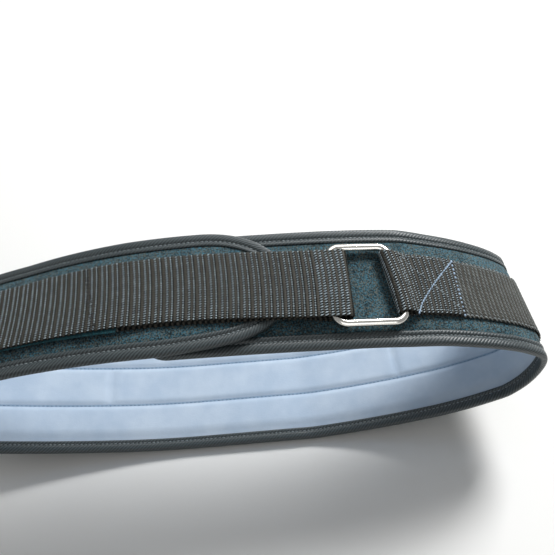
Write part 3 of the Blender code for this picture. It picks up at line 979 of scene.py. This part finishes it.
@dataclass
class Panel:
    """The padded strip itself: foam core in outer fabric, brushed lining and edge binding.

    Insets, grooves and the tape's section are millimetres.
    """

    strip: PaddedStrip
    rows: RowTree
    step: float = 3.0 * MM
    core_insets: tuple[float, ...] = (1.3, 4.0, 8.0, 9.0, 10.0, 11.0, 12.2, 13.6, 15.2, 17.0)
    lining_insets: tuple[float, ...] = (1.3, 6.5, 7.5, 8.3, 9.3, 10.6, 12.2, 14.0, 16.0)
    under_insets: tuple[float, ...] = (1.3, 8.3)
    pinched: float = 1.3 * MM
    raised_from: float = 8.6 * MM
    raised_over: float = 9.0 * MM
    under_depth: float = 3.1 * MM
    under_fade: float = 34.0 * MM
    core_depth: float = 4.2 * MM
    lining_top: tuple[float, float] = (-3.4 * MM, -1.1 * MM)
    crown_depth: float = 1.3 * MM
    crown_from: float = 7.0 * MM
    crown_over: float = 9.0 * MM
    puff_depth: float = 0.7 * MM
    puff_from: float = 9.0 * MM
    puff_over: float = 8.0 * MM
    line_far: float = 21.0 * MM
    line_near: float = -12.6 * MM
    cross_seam: float = 118.0 * MM
    cross_pull: float = 0.75
    quilt_depth: float = 1.6 * MM
    quilt_width: float = 2.4 * MM
    quilt_ends: tuple[float, float] = (20.0 * MM, 10.0 * MM)
    seam_end: float = 2.0 * MM
    thread_depth: float = 0.55 * MM
    covered_from: float = 0.02
    face_groove: tuple[float, float] = (6.1, -0.72)
    back_groove: tuple[float, float] = (5.2, -4.92)
    # In from the rim and out of the outer fabric: on each face a rolled bead, then the
    # stitched groove, then the part that is drawn over the rim.
    tape_section = (
        (9.6, -1.05), (10.0, -0.7), (9.9, -0.25), (9.4, 0.1), (8.6, 0.22), (7.7, 0.16),
        (7.0, -0.15), (6.5, -0.7), (6.1, -0.85), (5.7, -0.7), (5.1, -0.2), (4.3, 0.06), (3.0, 0.12),
        (1.6, 0.05), (0.5, -0.2), (-0.25, -0.8), (-0.6, -1.8), (-0.7, -2.75), (-0.6, -3.7),
        (-0.25, -4.7), (0.5, -5.3), (1.6, -5.5), (3.0, -5.55), (4.0, -5.5), (4.5, -5.25),
        (4.9, -4.85), (5.2, -4.8), (5.5, -4.95), (6.0, -5.45), (6.8, -5.65), (7.5, -5.6),
        (8.0, -5.2), (7.7, -4.6), (3.0, -4.5), (1.4, -4.1), (1.1, -2.75), (1.4, -1.4),
        (3.0, -1.05),
    )

    def _grid(self, insets: tuple[float, ...], middle: int) -> tuple[np.ndarray, ...]:
        """Rows of strip coordinates from the near rim to the far one.

        Args:
            insets: millimetres in from the rim, rising.
            middle: how many columns lie between the two deepest ones.

        Returns:
            Arrays of along, across and distance from the rim, one row for each rib.
        """
        insets = np.array(insets) * MM
        edge, inwards = self.strip.outline(self.step)
        far = edge[:, None, :] + inwards[:, None, :] * insets[None, :, None]
        near = far * (1.0, -1.0)
        share = np.linspace(0.0, 1.0, middle + 2)[1:-1]
        between = near[:, -1:, :] + (far[:, -1:, :] - near[:, -1:, :]) * share[None, :, None]
        grid = np.concatenate([near, between, far[:, ::-1, :]], 1)
        span = far[:, -1, 1] - near[:, -1, 1]
        inner = insets[-1] + span[:, None] * np.minimum(share, 1.0 - share)[None, :]
        rim = np.broadcast_to(insets, (len(edge), len(insets)))
        return grid[..., 0], grid[..., 1], np.concatenate([rim, inner, rim[:, ::-1]], 1)

    def _skin(self, name: str, outer: tuple[np.ndarray, ...], inner: tuple[np.ndarray, ...],
              seam: tuple[np.ndarray, np.ndarray] | None = None) -> bpy.types.Object:
        """A closed skin from the coordinates of its outer and its inner face.

        Args:
            name: the object's name.
            outer: along, across and height of the face that looks out of the loop.
            inner: the same for the face that looks into it.
            seam: how far the seams pull each point of the two faces in.

        Returns:
            The skin.
        """
        along, across, height = (np.concatenate([one, two[:, ::-1]], 1)
                                 for one, two in zip(outer, inner))
        points = self.strip.rimmed(along, across, height)
        uv = np.stack([along, across], -1)
        marks = {"seam": np.concatenate([seam[0], seam[1][:, ::-1]], 1)} if seam else None
        return swept(name, points, np.concatenate([uv, uv[:, :1]], 1), marks=marks)

    def _under(self, level: float, crown: float) -> tuple[np.ndarray, ...]:
        """The face where core and lining meet, which is flat at the rim.

        Args:
            level: its height at the rim.
            crown: how much that changes towards the middle.

        Returns:
            Arrays of along, across and height.
        """
        along, across, depth = self._grid(self.under_insets, 5)
        share = smooth((depth - self.under_insets[-1] * MM) / self.under_fade)
        return along, across, level + crown * share

    def build_body(self) -> bpy.types.Object:
        """Make the foam core in its outer fabric, pinched under the tape and raised between.

        Returns:
            The core.
        """
        along, across, depth = self._grid(self.core_insets, 12)
        share = np.clip((depth - self.raised_from) / self.raised_over, 0.0, 1.0)
        rise = np.sin(0.5 * math.pi * share)
        low = self._under(-self.under_depth, self.under_depth - self.core_depth)
        body = self._skin("belt_body", (along, across, self.pinched * (rise - 1.0)), low)
        Fabric.OUTER.value.dress(body)
        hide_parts("padded_body")
        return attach(body, BODY)

    def quilting(self, along: np.ndarray, across: np.ndarray) -> np.ndarray:
        """How far the quilting lines and cross seams pull the lining in.

        Args:
            along: distances along the strip.
            across: distances from its middle.

        Returns:
            The pull at each, from 0 to 1.
        """
        pull = np.zeros(along.shape)
        for line in (self.line_far, self.line_near):
            pull = np.maximum(pull, np.exp(-((across - line) / self.quilt_width) ** 2))
        between = (smooth((self.line_far - across) / self.seam_end)
                   * smooth((across - self.line_near) / self.seam_end))
        for seam in (-self.cross_seam, self.cross_seam):
            dip = np.exp(-((along - seam) / self.quilt_width) ** 2)
            pull = np.maximum(pull, self.cross_pull * between * dip)
        return pull

    def _quilt_lines(self) -> list[Line]:
        """The quilting's rows of stitches, where no other layer covers them.

        Returns:
            A line for each quilting line and cross seam.
        """
        strip = self.strip
        whole = np.linspace(strip.tongue_tip + self.quilt_ends[0],
                            strip.hidden_end - self.quilt_ends[1], 500)
        free = whole[strip.raised(whole) < self.covered_from * strip.lift]
        height = -self.core_depth - self.thread_depth
        rows = [(free, across) for across in (self.line_far, self.line_near)]
        rows += [(seam, np.linspace(self.line_near, self.line_far, 30))
                 for seam in (-self.cross_seam, self.cross_seam)]
        return [strip.line(along, across, height) for along, across in rows]

    def build_lining(self) -> bpy.types.Object:
        """Make the brushed lining, puffed between its quilting lines.

        Returns:
            The lining.
        """
        along, across, depth = self._grid(self.lining_insets, 54)
        crown = smooth((depth - self.crown_from) / self.crown_over)
        free = 1.0 - self.strip.raised(along) / self.strip.lift
        # The pull is also kept as the seam value, from which the lining's material paints shade in
        # the creases.
        seam = self.quilting(along, across) * free
        low = -self.core_depth - self.crown_depth * crown
        low -= self.puff_depth * free * smooth((depth - self.puff_from) / self.puff_over)
        low += seam * self.quilt_depth
        top = self._under(*self.lining_top)
        skin = self._skin("lining_cloth", top, (along, across, low), (np.zeros(top[0].shape), seam))
        Fabric.LINING.value.dress(skin)
        thread = Stitch(Fabric.SEAM_THREAD, width=0.7)
        lining = joined([skin, thread.sew(self.rows, "quilting", self._quilt_lines())])
        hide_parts("lining")
        length = self.strip.hidden_end - self.strip.tongue_tip
        self.strip.back_width
        self.flat_area()
        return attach(lining, BODY)

    def flat_area(self) -> float:
        """Measure the lining laid flat, inside the rim of the tape.

        Returns:
            The area.
        """
        edge, inwards = self.strip.outline(self.step)
        along, across = (edge + inwards * self.lining_insets[0] * MM).T
        return float(abs(np.sum(np.diff(along) * (across[1:] + across[:-1]))))

    def build_binding(self) -> bpy.types.Object:
        """Make the folded tape round the whole rim, with stitches in both faces' grooves.

        Returns:
            The tape.
        """
        section = np.array(self.tape_section) * MM
        edge, inwards = self.strip.outline(self.step)
        whole, ways = (np.vstack([half * (1.0, -1.0), half[-2:0:-1]]) for half in (edge, inwards))
        spots = whole[:, None, :] + ways[:, None, :] * section[None, :, :1]
        points = self.strip.rimmed(spots[..., 0], spots[..., 1], section[:, 1])
        run = lengths_along(back_to_start(whole))
        way_round = lengths_along(back_to_start(section))
        binding = swept("binding_tape", points, grid_uv(run, way_round), closed=True)
        Fabric.TAPE.value.dress(binding)
        grooves = []
        for inset, height in (self.face_groove, self.back_groove):
            row = back_to_start(whole + ways * inset * MM)
            grooves.append(self.strip.line(*row.T, height * MM))
        stitches = Stitch(Fabric.GREY_THREAD, width=0.9).sew(self.rows, "tape_stitches", grooves)
        binding = joined([binding, stitches])
        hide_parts("edge_binding")
        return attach(binding, BODY)


@dataclass
class Band:
    """A flat band along a path, whose rows are along, across, height and slant.

    A slant is how far the band's cross-line runs along the strip for each metre across it.
    A selvedge reaches out by its roundness times half the band's depth.
    """

    strip: PaddedStrip
    path: np.ndarray
    width: float
    depth: float = 1.5 * MM
    roundness: float = 1.2

    def __post_init__(self) -> None:
        centre = self.beside(self.path, 0.0)
        left, right = (self.beside(self.path, side * self.width / 2) for side in (1.0, -1.0))
        self.normal = unit(np.cross(np.gradient(centre, axis=0), left - right))
        self.run = lengths_along(centre)

    def beside(self, path: np.ndarray, offset: Any) -> np.ndarray:
        """Points at distances across the band from rows of its path."""
        along, shift, height, slant = np.moveaxis(path, -1, 0)
        return self.strip.place(along + slant * offset, shift + offset, height)

    def skin(self, name: str, columns: int) -> bpy.types.Object:
        """The band's closed skin with rounded selvedges.

        Args:
            name: the object's name.
            columns: how many points cross each face.

        Returns:
            The object, with run, side and edge kept on its points.
        """
        half, thick = self.width / 2, self.depth / 2
        reach = self.roundness * thick
        flat_half = half - reach
        flat = np.linspace(-flat_half, flat_half, columns)
        turn = np.radians((-55.0, -20.0, 20.0, 55.0))
        selvedge = np.stack([flat_half + reach * np.cos(turn), thick * np.sin(turn)], -1)
        section = np.vstack([np.stack([flat, np.full(columns, -thick)], -1), selvedge,
                             np.stack([flat[::-1], np.full(columns, thick)], -1),
                             selvedge[::-1] * (-1.0, 1.0)])
        edge = np.tile(np.repeat((0.0, 1.0), (columns, len(turn))), 2)
        points = (self.beside(self.path[:, None], section[None, :, 0])
                  + self.normal[:, None] * section[None, :, 1:])
        way_round = lengths_along(back_to_start(section))
        rows = {"run": self.run[:, None], "side": section[:, 0] / half, "edge": edge}
        marks = {key: np.broadcast_to(value, points.shape[:2]) for key, value in rows.items()}
        return swept(name, points, grid_uv(self.run, way_round), marks=marks)

    def line(self, run: Any, side: Any, face: float, proud: float = 0.0) -> Line:
        """A line on one face of the band.

        Args:
            run: distances along the band.
            side: distances from its middle.
            face: 1 for the face on the normal's side, -1 for the other.
            proud: height over the face.

        Returns:
            The line.
        """
        run, side = np.broadcast_arrays(np.asarray(run, float), np.asarray(side, float))
        out = unit(columns_at(run, self.run, self.normal)) * face
        middle = self.beside(columns_at(run, self.run, self.path), side)
        return Line(middle + out * (self.depth / 2 + proud), out)


@dataclass
class Webbing:
    """What the two webbings share: ribs, and yarns in the valleys between them.

    The real yarns are about 1.4 mm apart. They are drawn coarser so that they show, and the
    drab ones, which hardly differ from the ribs, as long strands twice that far apart.
    """

    ring: WireRing
    ribs: RibTree
    rows: RowTree
    rib_pitch: float = 3.6 * MM
    # The bright yarns below carry a painted highlight in their colour.
    yarn: Stitch = Stitch(Fabric.FLOAT, 1.75, 0.85, 2.1, 0.9, turn=24.0, change=0.12)
    thin_yarn: Stitch = Stitch(Fabric.FLOAT, 1.75, 1.3, 1.2, 0.8, turn=24.0, change=0.12)
    open_yarn: Stitch = Stitch(Fabric.FLOAT, 1.9, 1.0, 3.0, 1.3, turn=24.0, change=0.1)
    drab_yarn: Stitch = Stitch(Fabric.DRAB_FLOAT, 2.8, 4.8, 1.7, 0.9, turn=24.0, change=0.12)
    opened: float = 25.0 * MM
    yarn_proud: float = -0.05 * MM
    yarn_inset: float = 1.2 * MM
    bow: float = -0.3
    broad_share: float = 0.05
    low: float = 1.05 * MM
    high: float = 2.85 * MM
    half_depth: float = Band.depth / 2
    bar_slack: float = 0.6 * MM

    @property
    def strip(self) -> PaddedStrip:
        """The strip that the webbing lies on."""
        return self.ring.strip

    @property
    def bar_height(self) -> float:
        """The height of the ring's wire over the fabric."""
        return self.low + self.half_depth + self.bar_slack + self.ring.wire / 2

    @property
    def fold_radius(self) -> float:
        """The radius of a fold's middle line round a bar."""
        return self.ring.wire / 2 + self.bar_slack + self.half_depth

    def fold(self, bar: float, turn_from: float, turn_to: float) -> np.ndarray:
        """The fold round a bar.

        Args:
            bar: the distance along the strip of the fold's middle.
            turn_from: the angle in degrees where it begins.
            turn_to: the angle where it ends.

        Returns:
            Points as (along, height).
        """
        turn = np.radians(np.linspace(turn_from, turn_to, 24))
        return np.stack([bar + self.fold_radius * np.cos(turn),
                         self.bar_height + self.fold_radius * np.sin(turn)], -1)

    def ribbed(self, name: str, band: Band, columns: int) -> bpy.types.Object:
        """The ribbed skin of a band, dressed."""
        return self.ribs.grow(band.skin(name, columns), Fabric.WEBBING.value,
                              rib_pitch=self.rib_pitch, bow=self.bow, broad_share=self.broad_share)

    def floats(self, band: Band, start: float, end: float, face: float, even: Stitch,
               odd: Stitch | None = None) -> list[bpy.types.Object]:
        """The yarns between the ribs of one face.

        Args:
            band: the band that they lie on.
            start: the distance along the band where they begin.
            end: the distance where they end.
            face: 1 or -1, the face that shows.
            even: what lies in the even valleys.
            odd: what lies in the odd ones, if not the same.

        Returns:
            The yarns, one object for the even valleys and one for the odd ones.
        """
        reach = band.width / 2 - self.yarn_inset
        side = np.linspace(-reach, reach, 9)
        bow = self.bow * (side / (band.width / 2)) ** 2
        first, last = math.ceil(start / self.rib_pitch), math.ceil(end / self.rib_pitch)
        pieces = []
        for parity, yarn in enumerate((even, odd or even)):
            lines = [band.line((valley + 2.0 * self.broad_share * parity - bow) * self.rib_pitch,
                               side, face, self.yarn_proud)
                     for valley in range(first, last) if valley % 2 == parity]
            pieces.append(yarn.sew(self.rows, "yarns", lines))
        return pieces


@dataclass
class SewnWebbing(Webbing):
    """The webbing from its fold on the ring, round the right hip and back, to the left panel."""

    width: float = 46.6 * MM
    loop_end_x: float = 145.0 * MM
    ramp: float = 12.0 * MM
    loop_top: float = 1.1 * MM
    ease: float = 1.55 * MM
    fold_shift: float = -0.6 * MM
    shift_fade: float = 90.0 * MM
    fold_slant: float = 0.158
    slant_fade: float = 45.0 * MM
    upper_end: float = 75.0 * MM
    box_end: float = 1.6 * MM
    box_start: float = 40.5 * MM
    box_half: float = 20.5 * MM
    box_proud: float = 0.30 * MM
    box_runs_out: tuple[float, float] = (3.5 * MM, 3.0 * MM)
    box_row_gap: float = 1.0 * MM
    sewn_from: float = 108.0 * MM
    sewn_gap: float = 0.15 * MM
    edge_inset: float = 1.7 * MM
    edge_proud: float = 0.15 * MM
    edge_end: float = 4.0 * MM

    def band(self) -> Band:
        """The band along its path.

        Returns:
            The band, from the free end over the fold to the sewn end.
        """
        strip, bar, wire = self.strip, self.ring.bars[1], self.ring.wire
        climb = [(strip.front_distance(self.loop_end_x), self.high), (bar - self.ramp, self.high),
                 (bar - self.loop_top, self.bar_height + self.fold_radius)]
        around = self.fold(bar + self.ease, 90.0, -90.0)
        sewn_end = strip.front_distance(SEWN_X) - strip.round + self.sewn_gap
        down = [(bar - wire, self.low), (sewn_end, self.low)]
        along, height = rounded(np.vstack([climb, around, down]), self.rib_pitch / 6, 3).T
        under = np.arange(len(along)) > int(np.argmax(along))
        past = bar - along
        shift = self.fold_shift + (WEB_SHIFT - self.fold_shift) * smooth(past / self.shift_fade)
        slant = self.fold_slant * (1.0 - smooth(past / np.where(under, wire, self.slant_fade)))
        path = np.stack([along, shift, height + strip.raised(along), slant], -1)
        return Band(strip, path, self.width)

    def box(self, band: Band) -> list[bpy.types.Object]:
        """The stitched box that closes the fold.

        Args:
            band: the band that it is sewn on.

        Returns:
            Its strong diagonal, its end row and its fainter rows, an object of each.
        """
        end, half, proud = self.box_end, self.box_half, self.box_proud
        share = np.linspace(0.0, 1.0, 30)
        sloped = end + (self.box_start - end) * share
        strong = [(sloped, half - (2 * half + self.box_runs_out[0]) * share)]
        row = [(np.full(30, end), np.linspace(half, -half - self.box_runs_out[1], 30))]
        faint = [(sloped, -half + 2 * half * share),
                 (np.full(30, self.box_start + self.box_row_gap), np.linspace(half, -half, 30)),
                 (sloped, -half), (sloped, half)]
        kinds = ((Stitch(Fabric.BLUE_THREAD, 2.3, 2.9, 1.35, 0.9, turn=8.0, change=0.2), strong),
                 (Stitch(Fabric.BLUE_THREAD, 3.3, 2.3, 1.7, 0.9, change=0.25), row),
                 (Stitch(Fabric.GREY_THREAD, 2.8, 2.0, 1.2, 0.7, turn=20.0, change=0.2), faint))
        return [stitch.sew(self.rows, "box_rows", [band.line(*line, -1.0, proud) for line in lines])
                for stitch, lines in kinds]

    def build(self) -> bpy.types.Object:
        """Make the webbing, its yarns and its stitches.

        Returns:
            The webbing.
        """
        band = self.band()
        run = np.linspace(self.sewn_from, band.run[-1] - self.edge_end, 700)
        edges = [band.line(run, side * (self.width / 2 - self.edge_inset), 1.0, self.edge_proud)
                 for side in (-1.0, 1.0)]
        flat_end = self.upper_end - self.opened
        piece = joined([self.ribbed("sewn_webbing_ribbed", band, 12),
                        *self.floats(band, self.rib_pitch, flat_end, -1.0, self.yarn),
                        *self.floats(band, flat_end, self.upper_end, -1.0, self.open_yarn),
                        *self.floats(band, self.sewn_from, band.run[-1], 1.0, self.drab_yarn),
                        Stitch(Fabric.GREY_THREAD, 3.6).sew(self.rows, "edge_rows", edges),
                        *self.box(band)])
        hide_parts("sewn_webbing")
        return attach(piece, BODY)


@dataclass
class FasteningStrap(Webbing):
    """The strap that comes over the tongue, goes through the ring and folds back on itself."""

    width: float = 50.0 * MM
    tail_x: float = -194.0 * MM
    tail_shift: float = 1.0 * MM
    end_shift: float = -2.0 * MM
    drift_x: tuple[float, float] = (-60.0 * MM, -150.0 * MM)
    under_shift: float = -0.6 * MM
    off_tip: float = 4.0 * MM
    settled_at: float = 0.7
    ease: float = 8.55 * MM
    patch_top: float = 3.2 * MM
    ramp: float = 18.0 * MM
    patch_gap: float = 0.3 * MM
    hook_end: tuple[float, float] = (335.0 * MM, 328.0 * MM)
    hook_rows: tuple[float, float] = (0.0, 2.0 * MM)
    hook_inset: float = 1.5 * MM
    hook_proud: float = 0.28 * MM
    yarn_end: float = 2.0 * MM

    def band(self) -> Band:
        """The band along its path.

        Returns:
            The band, from the sewn end under the tail to the tail's free end.
        """
        strip, bar, half_wire = self.strip, self.ring.bars[0], self.ring.wire / 2
        sewn = strip.front_distance(SEWN_X) - SEWN_GAP
        off_tip = strip.tongue_tip + strip.round - self.off_tip
        under = np.linspace(sewn, off_tip, 60)
        under_line = np.stack([under, self.low + strip.raised(under - strip.round)], -1)
        step_down = [((off_tip + bar + self.ring.wire) / 2, self.low + strip.lift / 2),
                     (bar + half_wire, self.low)]
        around = self.fold(bar - self.ease, -90.0, -270.0)
        top = [(bar + half_wire, self.bar_height + self.fold_radius)]
        over = np.linspace(off_tip, strip.front_distance(self.tail_x), 90)
        climb = smooth((over - sewn + self.ramp) / self.ramp)
        patch_high = self.patch_top + self.patch_gap + self.half_depth
        over_high = self.high + (patch_high - self.high) * climb
        over_line = np.stack([over, over_high + strip.raised(over - strip.round)], -1)
        line = rounded(np.vstack([under_line, step_down, around, top, over_line]),
                       self.rib_pitch / 8, 4)
        along, height = line.T
        settled = smooth((along - bar) / (self.settled_at * (sewn - bar)))
        drift = np.interp(along, [strip.front_distance(x) for x in self.drift_x],
                          [self.tail_shift, self.end_shift])
        below = np.arange(len(along)) <= int(np.argmin(along))
        shift = self.ring.y + (np.where(below, self.under_shift, drift) - self.ring.y) * settled
        return Band(strip, np.stack([along, shift, height, np.zeros(len(along))], -1), self.width)

    def build(self) -> bpy.types.Object:
        """Make the strap, its yarns and the rows that hold the hooks under its tail.

        Returns:
            The strap.
        """
        band = self.band()
        turn = band.run[int(np.argmin(band.path[:, 0]))]
        reach = self.width / 2 - self.hook_inset
        side = np.linspace(reach, -reach, 40)
        hooks = [band.line(np.linspace(*self.hook_end, 40) + row, side, -1.0, self.hook_proud)
                 for row in self.hook_rows]
        flat_from, end = turn + self.opened, band.run[-1] - self.yarn_end
        piece = joined([self.ribbed("fastening_strap_ribbed", band, 14),
                        *self.floats(band, turn + self.yarn_end, flat_from, -1.0, self.open_yarn),
                        *self.floats(band, flat_from, end, -1.0, self.yarn, self.thin_yarn),
                        Stitch(Fabric.DARK_THREAD, 2.8, width=1.2,
                               height=0.8).sew(self.rows, "hook_rows", hooks)])
        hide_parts("fastening_strap")
        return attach(piece, BODY)


@dataclass
class LoopPatch:
    """The pile strip under the tail."""

    strip: PaddedStrip
    tufts: TuftTree
    left_x: float = -208.0 * MM
    width: float = 50.0 * MM
    depth: float = 1.1 * MM
    middle: float = 2.65 * MM
    step: float = 1.0 * MM

    def build(self) -> bpy.types.Object:
        """Make the pile strip.

        Returns:
            The strip.
        """
        strip = self.strip
        along = np.arange(strip.front_distance(SEWN_X) + SEWN_GAP,
                          strip.front_distance(self.left_x), self.step)
        height = self.middle + strip.raised(along - strip.round)
        path = np.stack(np.broadcast_arrays(along, WEB_SHIFT, height, 0.0), -1)
        skin = Band(strip, path, self.width, self.depth).skin("loop_pile_strip", 10)
        patch = self.tufts.grow(skin, Fabric.PILE.value, 5)
        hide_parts("loop_patch")
        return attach(patch, BODY)


@dataclass
class WireRing:
    """The four-sided ring of bent wire, narrower at its far end."""

    strip: PaddedStrip
    wire: float = 5.2 * MM
    length: float = 56.6 * MM
    width: float = 45.95 * MM
    corner: float = 8.5 * MM
    x: float = 77.0 * MM
    y: float = -1.3 * MM
    height: float = 5.0 * MM
    left_slant: float = -0.018
    right_slant: float = 0.108
    sides: int = 28

    @property
    def bars(self) -> tuple[float, float]:
        """The distances round the loop of the left and right bars."""
        middle = self.strip.front_distance(self.x)
        return middle + self.width / 2, middle - self.width / 2

    def wire_rings(self, corner_steps: int, sides: int) -> tuple[np.ndarray, np.ndarray]:
        """The wire's middle line and the rings of points round it.

        Args:
            corner_steps: how many points each corner has.
            sides: how many points go round the wire.

        Returns:
            The middle line, and one ring of points for each of its points.
        """
        place, middle = self.strip.place, self.strip.front_distance(self.x)
        left, right = place(np.array(self.bars), self.y, self.height)
        centre, along = (left + right) / 2, unit(left - right)
        across = place(middle, self.y + MM, 0.0) - place(middle, self.y, 0.0)
        across = unit(across - along * across.dot(along))
        upward = np.cross(across, along)
        path = []
        for corner, (right, far) in enumerate(((1, 1), (-1, 1), (-1, -1), (1, -1))):
            angle = np.radians(90.0 * corner + np.linspace(0.0, 90.0, corner_steps))
            path.append(np.stack(
                [right * (self.width / 2 - self.corner) + self.corner * np.cos(angle),
                 far * (self.length / 2 - self.corner) + self.corner * np.sin(angle), angle], -1))
        ahead, aside, angle = (column[:, None] for column in np.vstack(path).T)
        outward = along * np.cos(angle) + across * np.sin(angle)
        share = ahead / self.width + 0.5
        slant = self.right_slant + (self.left_slant - self.right_slant) * share
        spots = centre + along * (ahead + slant * aside) + across * aside
        turn = np.linspace(0.0, 2 * math.pi, sides, endpoint=False)[None, :, None]
        return spots, spots[:, None] + (outward[:, None] * np.cos(turn)
                                        + upward * np.sin(turn)) * (self.wire / 2)

    def build(self) -> bpy.types.Object:
        """Make the ring.

        Returns:
            The ring.
        """
        spots, points = self.wire_rings(15, self.sides)
        run = lengths_along(back_to_start(spots))
        way_round = np.linspace(0.0, math.pi * self.wire, self.sides + 1)
        ring = swept("wire_ring", points, grid_uv(run, way_round), closed=True)
        Fabric.RING.value.dress(ring)
        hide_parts("ring")
        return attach(ring, BODY)


class Lamp(NamedTuple):
    """A soft lamp, or a white card that only glossy surfaces show, that faces the belt."""

    name: str
    place: tuple[float, float, float]
    size: float
    power: float
    card: bool = False


@dataclass
class Studio:
    """The plain pale floor, soft studio light and the camera at the photograph's angle."""

    eye: tuple[float, float, float] = (0.01736, -0.25369, 0.49152)
    pitch: float = math.radians(53.18)
    yaw: float = math.radians(5.53)
    roll: float = math.radians(-0.30)
    focal_pixels: float = 650.0
    sensor: float = 36.0
    aim: tuple[float, float, float] = (0.05, 0.0, 0.08)
    surroundings: float = 0.28
    backdrop: float = 0.85
    floor_radius: float = 1.7
    floor_sides: int = 96
    lamps: tuple[Lamp, ...] = (Lamp("key", (0.85, 0.98, 1.2), 0.5, 35.0),
                               Lamp("fill", (-1.3, 0.4, 0.9), 0.8, 2.5),
                               Lamp("card", (0.15, 1.5, 1.9), 1.6, 20.0, card=True),
                               Lamp("front card", (0.1, -1.5, 0.8), 1.4, 7.0, card=True))

    def build_camera(self) -> None:
        """Place the camera."""
        data = bpy.data.cameras.new("camera")
        data.sensor_width = self.sensor
        data.lens = self.sensor * self.focal_pixels / PICTURE_SIZE
        data.clip_start = 0.01
        level = Vector((math.cos(self.yaw), -math.sin(self.yaw), 0.0))
        forward = Vector((math.sin(self.yaw) * math.cos(self.pitch),
                          math.cos(self.yaw) * math.cos(self.pitch), -math.sin(self.pitch)))
        down = forward.cross(level)
        right = level * math.cos(self.roll) + down * math.sin(self.roll)
        down = down * math.cos(self.roll) - level * math.sin(self.roll)
        camera = bpy.data.objects.new("camera", data)
        bpy.context.scene.collection.objects.link(camera)
        turn = Matrix((right, -down, -forward)).transposed()
        camera.matrix_world = Matrix.Translation(self.eye) @ turn.to_4x4()
        bpy.context.scene.camera = camera

    def build_floor(self) -> None:
        """Lay the pale floor, a round one that fills the photograph's view."""
        turn = np.linspace(0.0, 2.0 * math.pi, self.floor_sides, endpoint=False)
        edge = np.stack([np.cos(turn), np.sin(turn), np.zeros(self.floor_sides)], -1)
        mesh = bpy.data.meshes.new("floor")
        mesh.from_pydata((edge * self.floor_radius).tolist(), [], [tuple(range(self.floor_sides))])
        Fabric.PAPER.value.dress(mesh_object("floor", mesh))

    def build_light(self) -> None:
        """Set the surroundings, which look paler than the light they give, and the soft lamps."""
        scene = bpy.context.scene
        scene.view_settings.view_transform = "Standard"
        world = bpy.data.worlds.new("studio")
        world.use_nodes = True
        tree = world.node_tree
        seen = add_node(tree, "ShaderNodeLightPath").outputs["Is Camera Ray"]
        level = add_node(tree, "ShaderNodeMapRange", {"Value": seen, "To Min": self.surroundings,
                                                      "To Max": self.backdrop})
        background = tree.nodes["Background"].inputs
        background["Color"].default_value = (1.0, 1.0, 1.0, 1.0)
        feed(tree, background["Strength"], level)
        scene.world = world
        for row in self.lamps:
            data = bpy.data.lights.new(row.name, "AREA")
            data.size, data.energy = row.size, row.power
            lamp = bpy.data.objects.new(row.name, data)
            lamp.visible_diffuse = not row.card
            lamp.location = row.place
            way = Vector(self.aim) - Vector(row.place)
            lamp.rotation_euler = way.to_track_quat("-Z", "Y").to_euler()
            scene.collection.objects.link(lamp)


def main() -> None:
    """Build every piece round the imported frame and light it."""
    logging.basicConfig(level=logging.INFO, format="%(name)s: %(message)s")
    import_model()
    strip = PaddedStrip()
    ring = WireRing(strip)
    low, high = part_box("ring")
    drawn = ring.wire_rings(*SOLID_RING_STEPS)[1].reshape(-1, 3)
    strip.shift = np.array((low + high) / 2) - (drawn.min(0) + drawn.max(0)) / 2
    rows, ribs = RowTree(), RibTree()
    panel = Panel(strip, rows)
    pieces = [panel.build_body(), panel.build_lining(), panel.build_binding(),
              SewnWebbing(ring, ribs, rows).build(), FasteningStrap(ring, ribs, rows).build(),
              LoopPatch(strip, TuftTree()).build(), ring.build()]
    for piece in pieces:
        LOG.info("%s: %d faces", piece.name, len(piece.data.polygons))
    studio = Studio()
    studio.build_floor()
    studio.build_light()
    studio.build_camera()


if __name__ == "__main__":
    main()
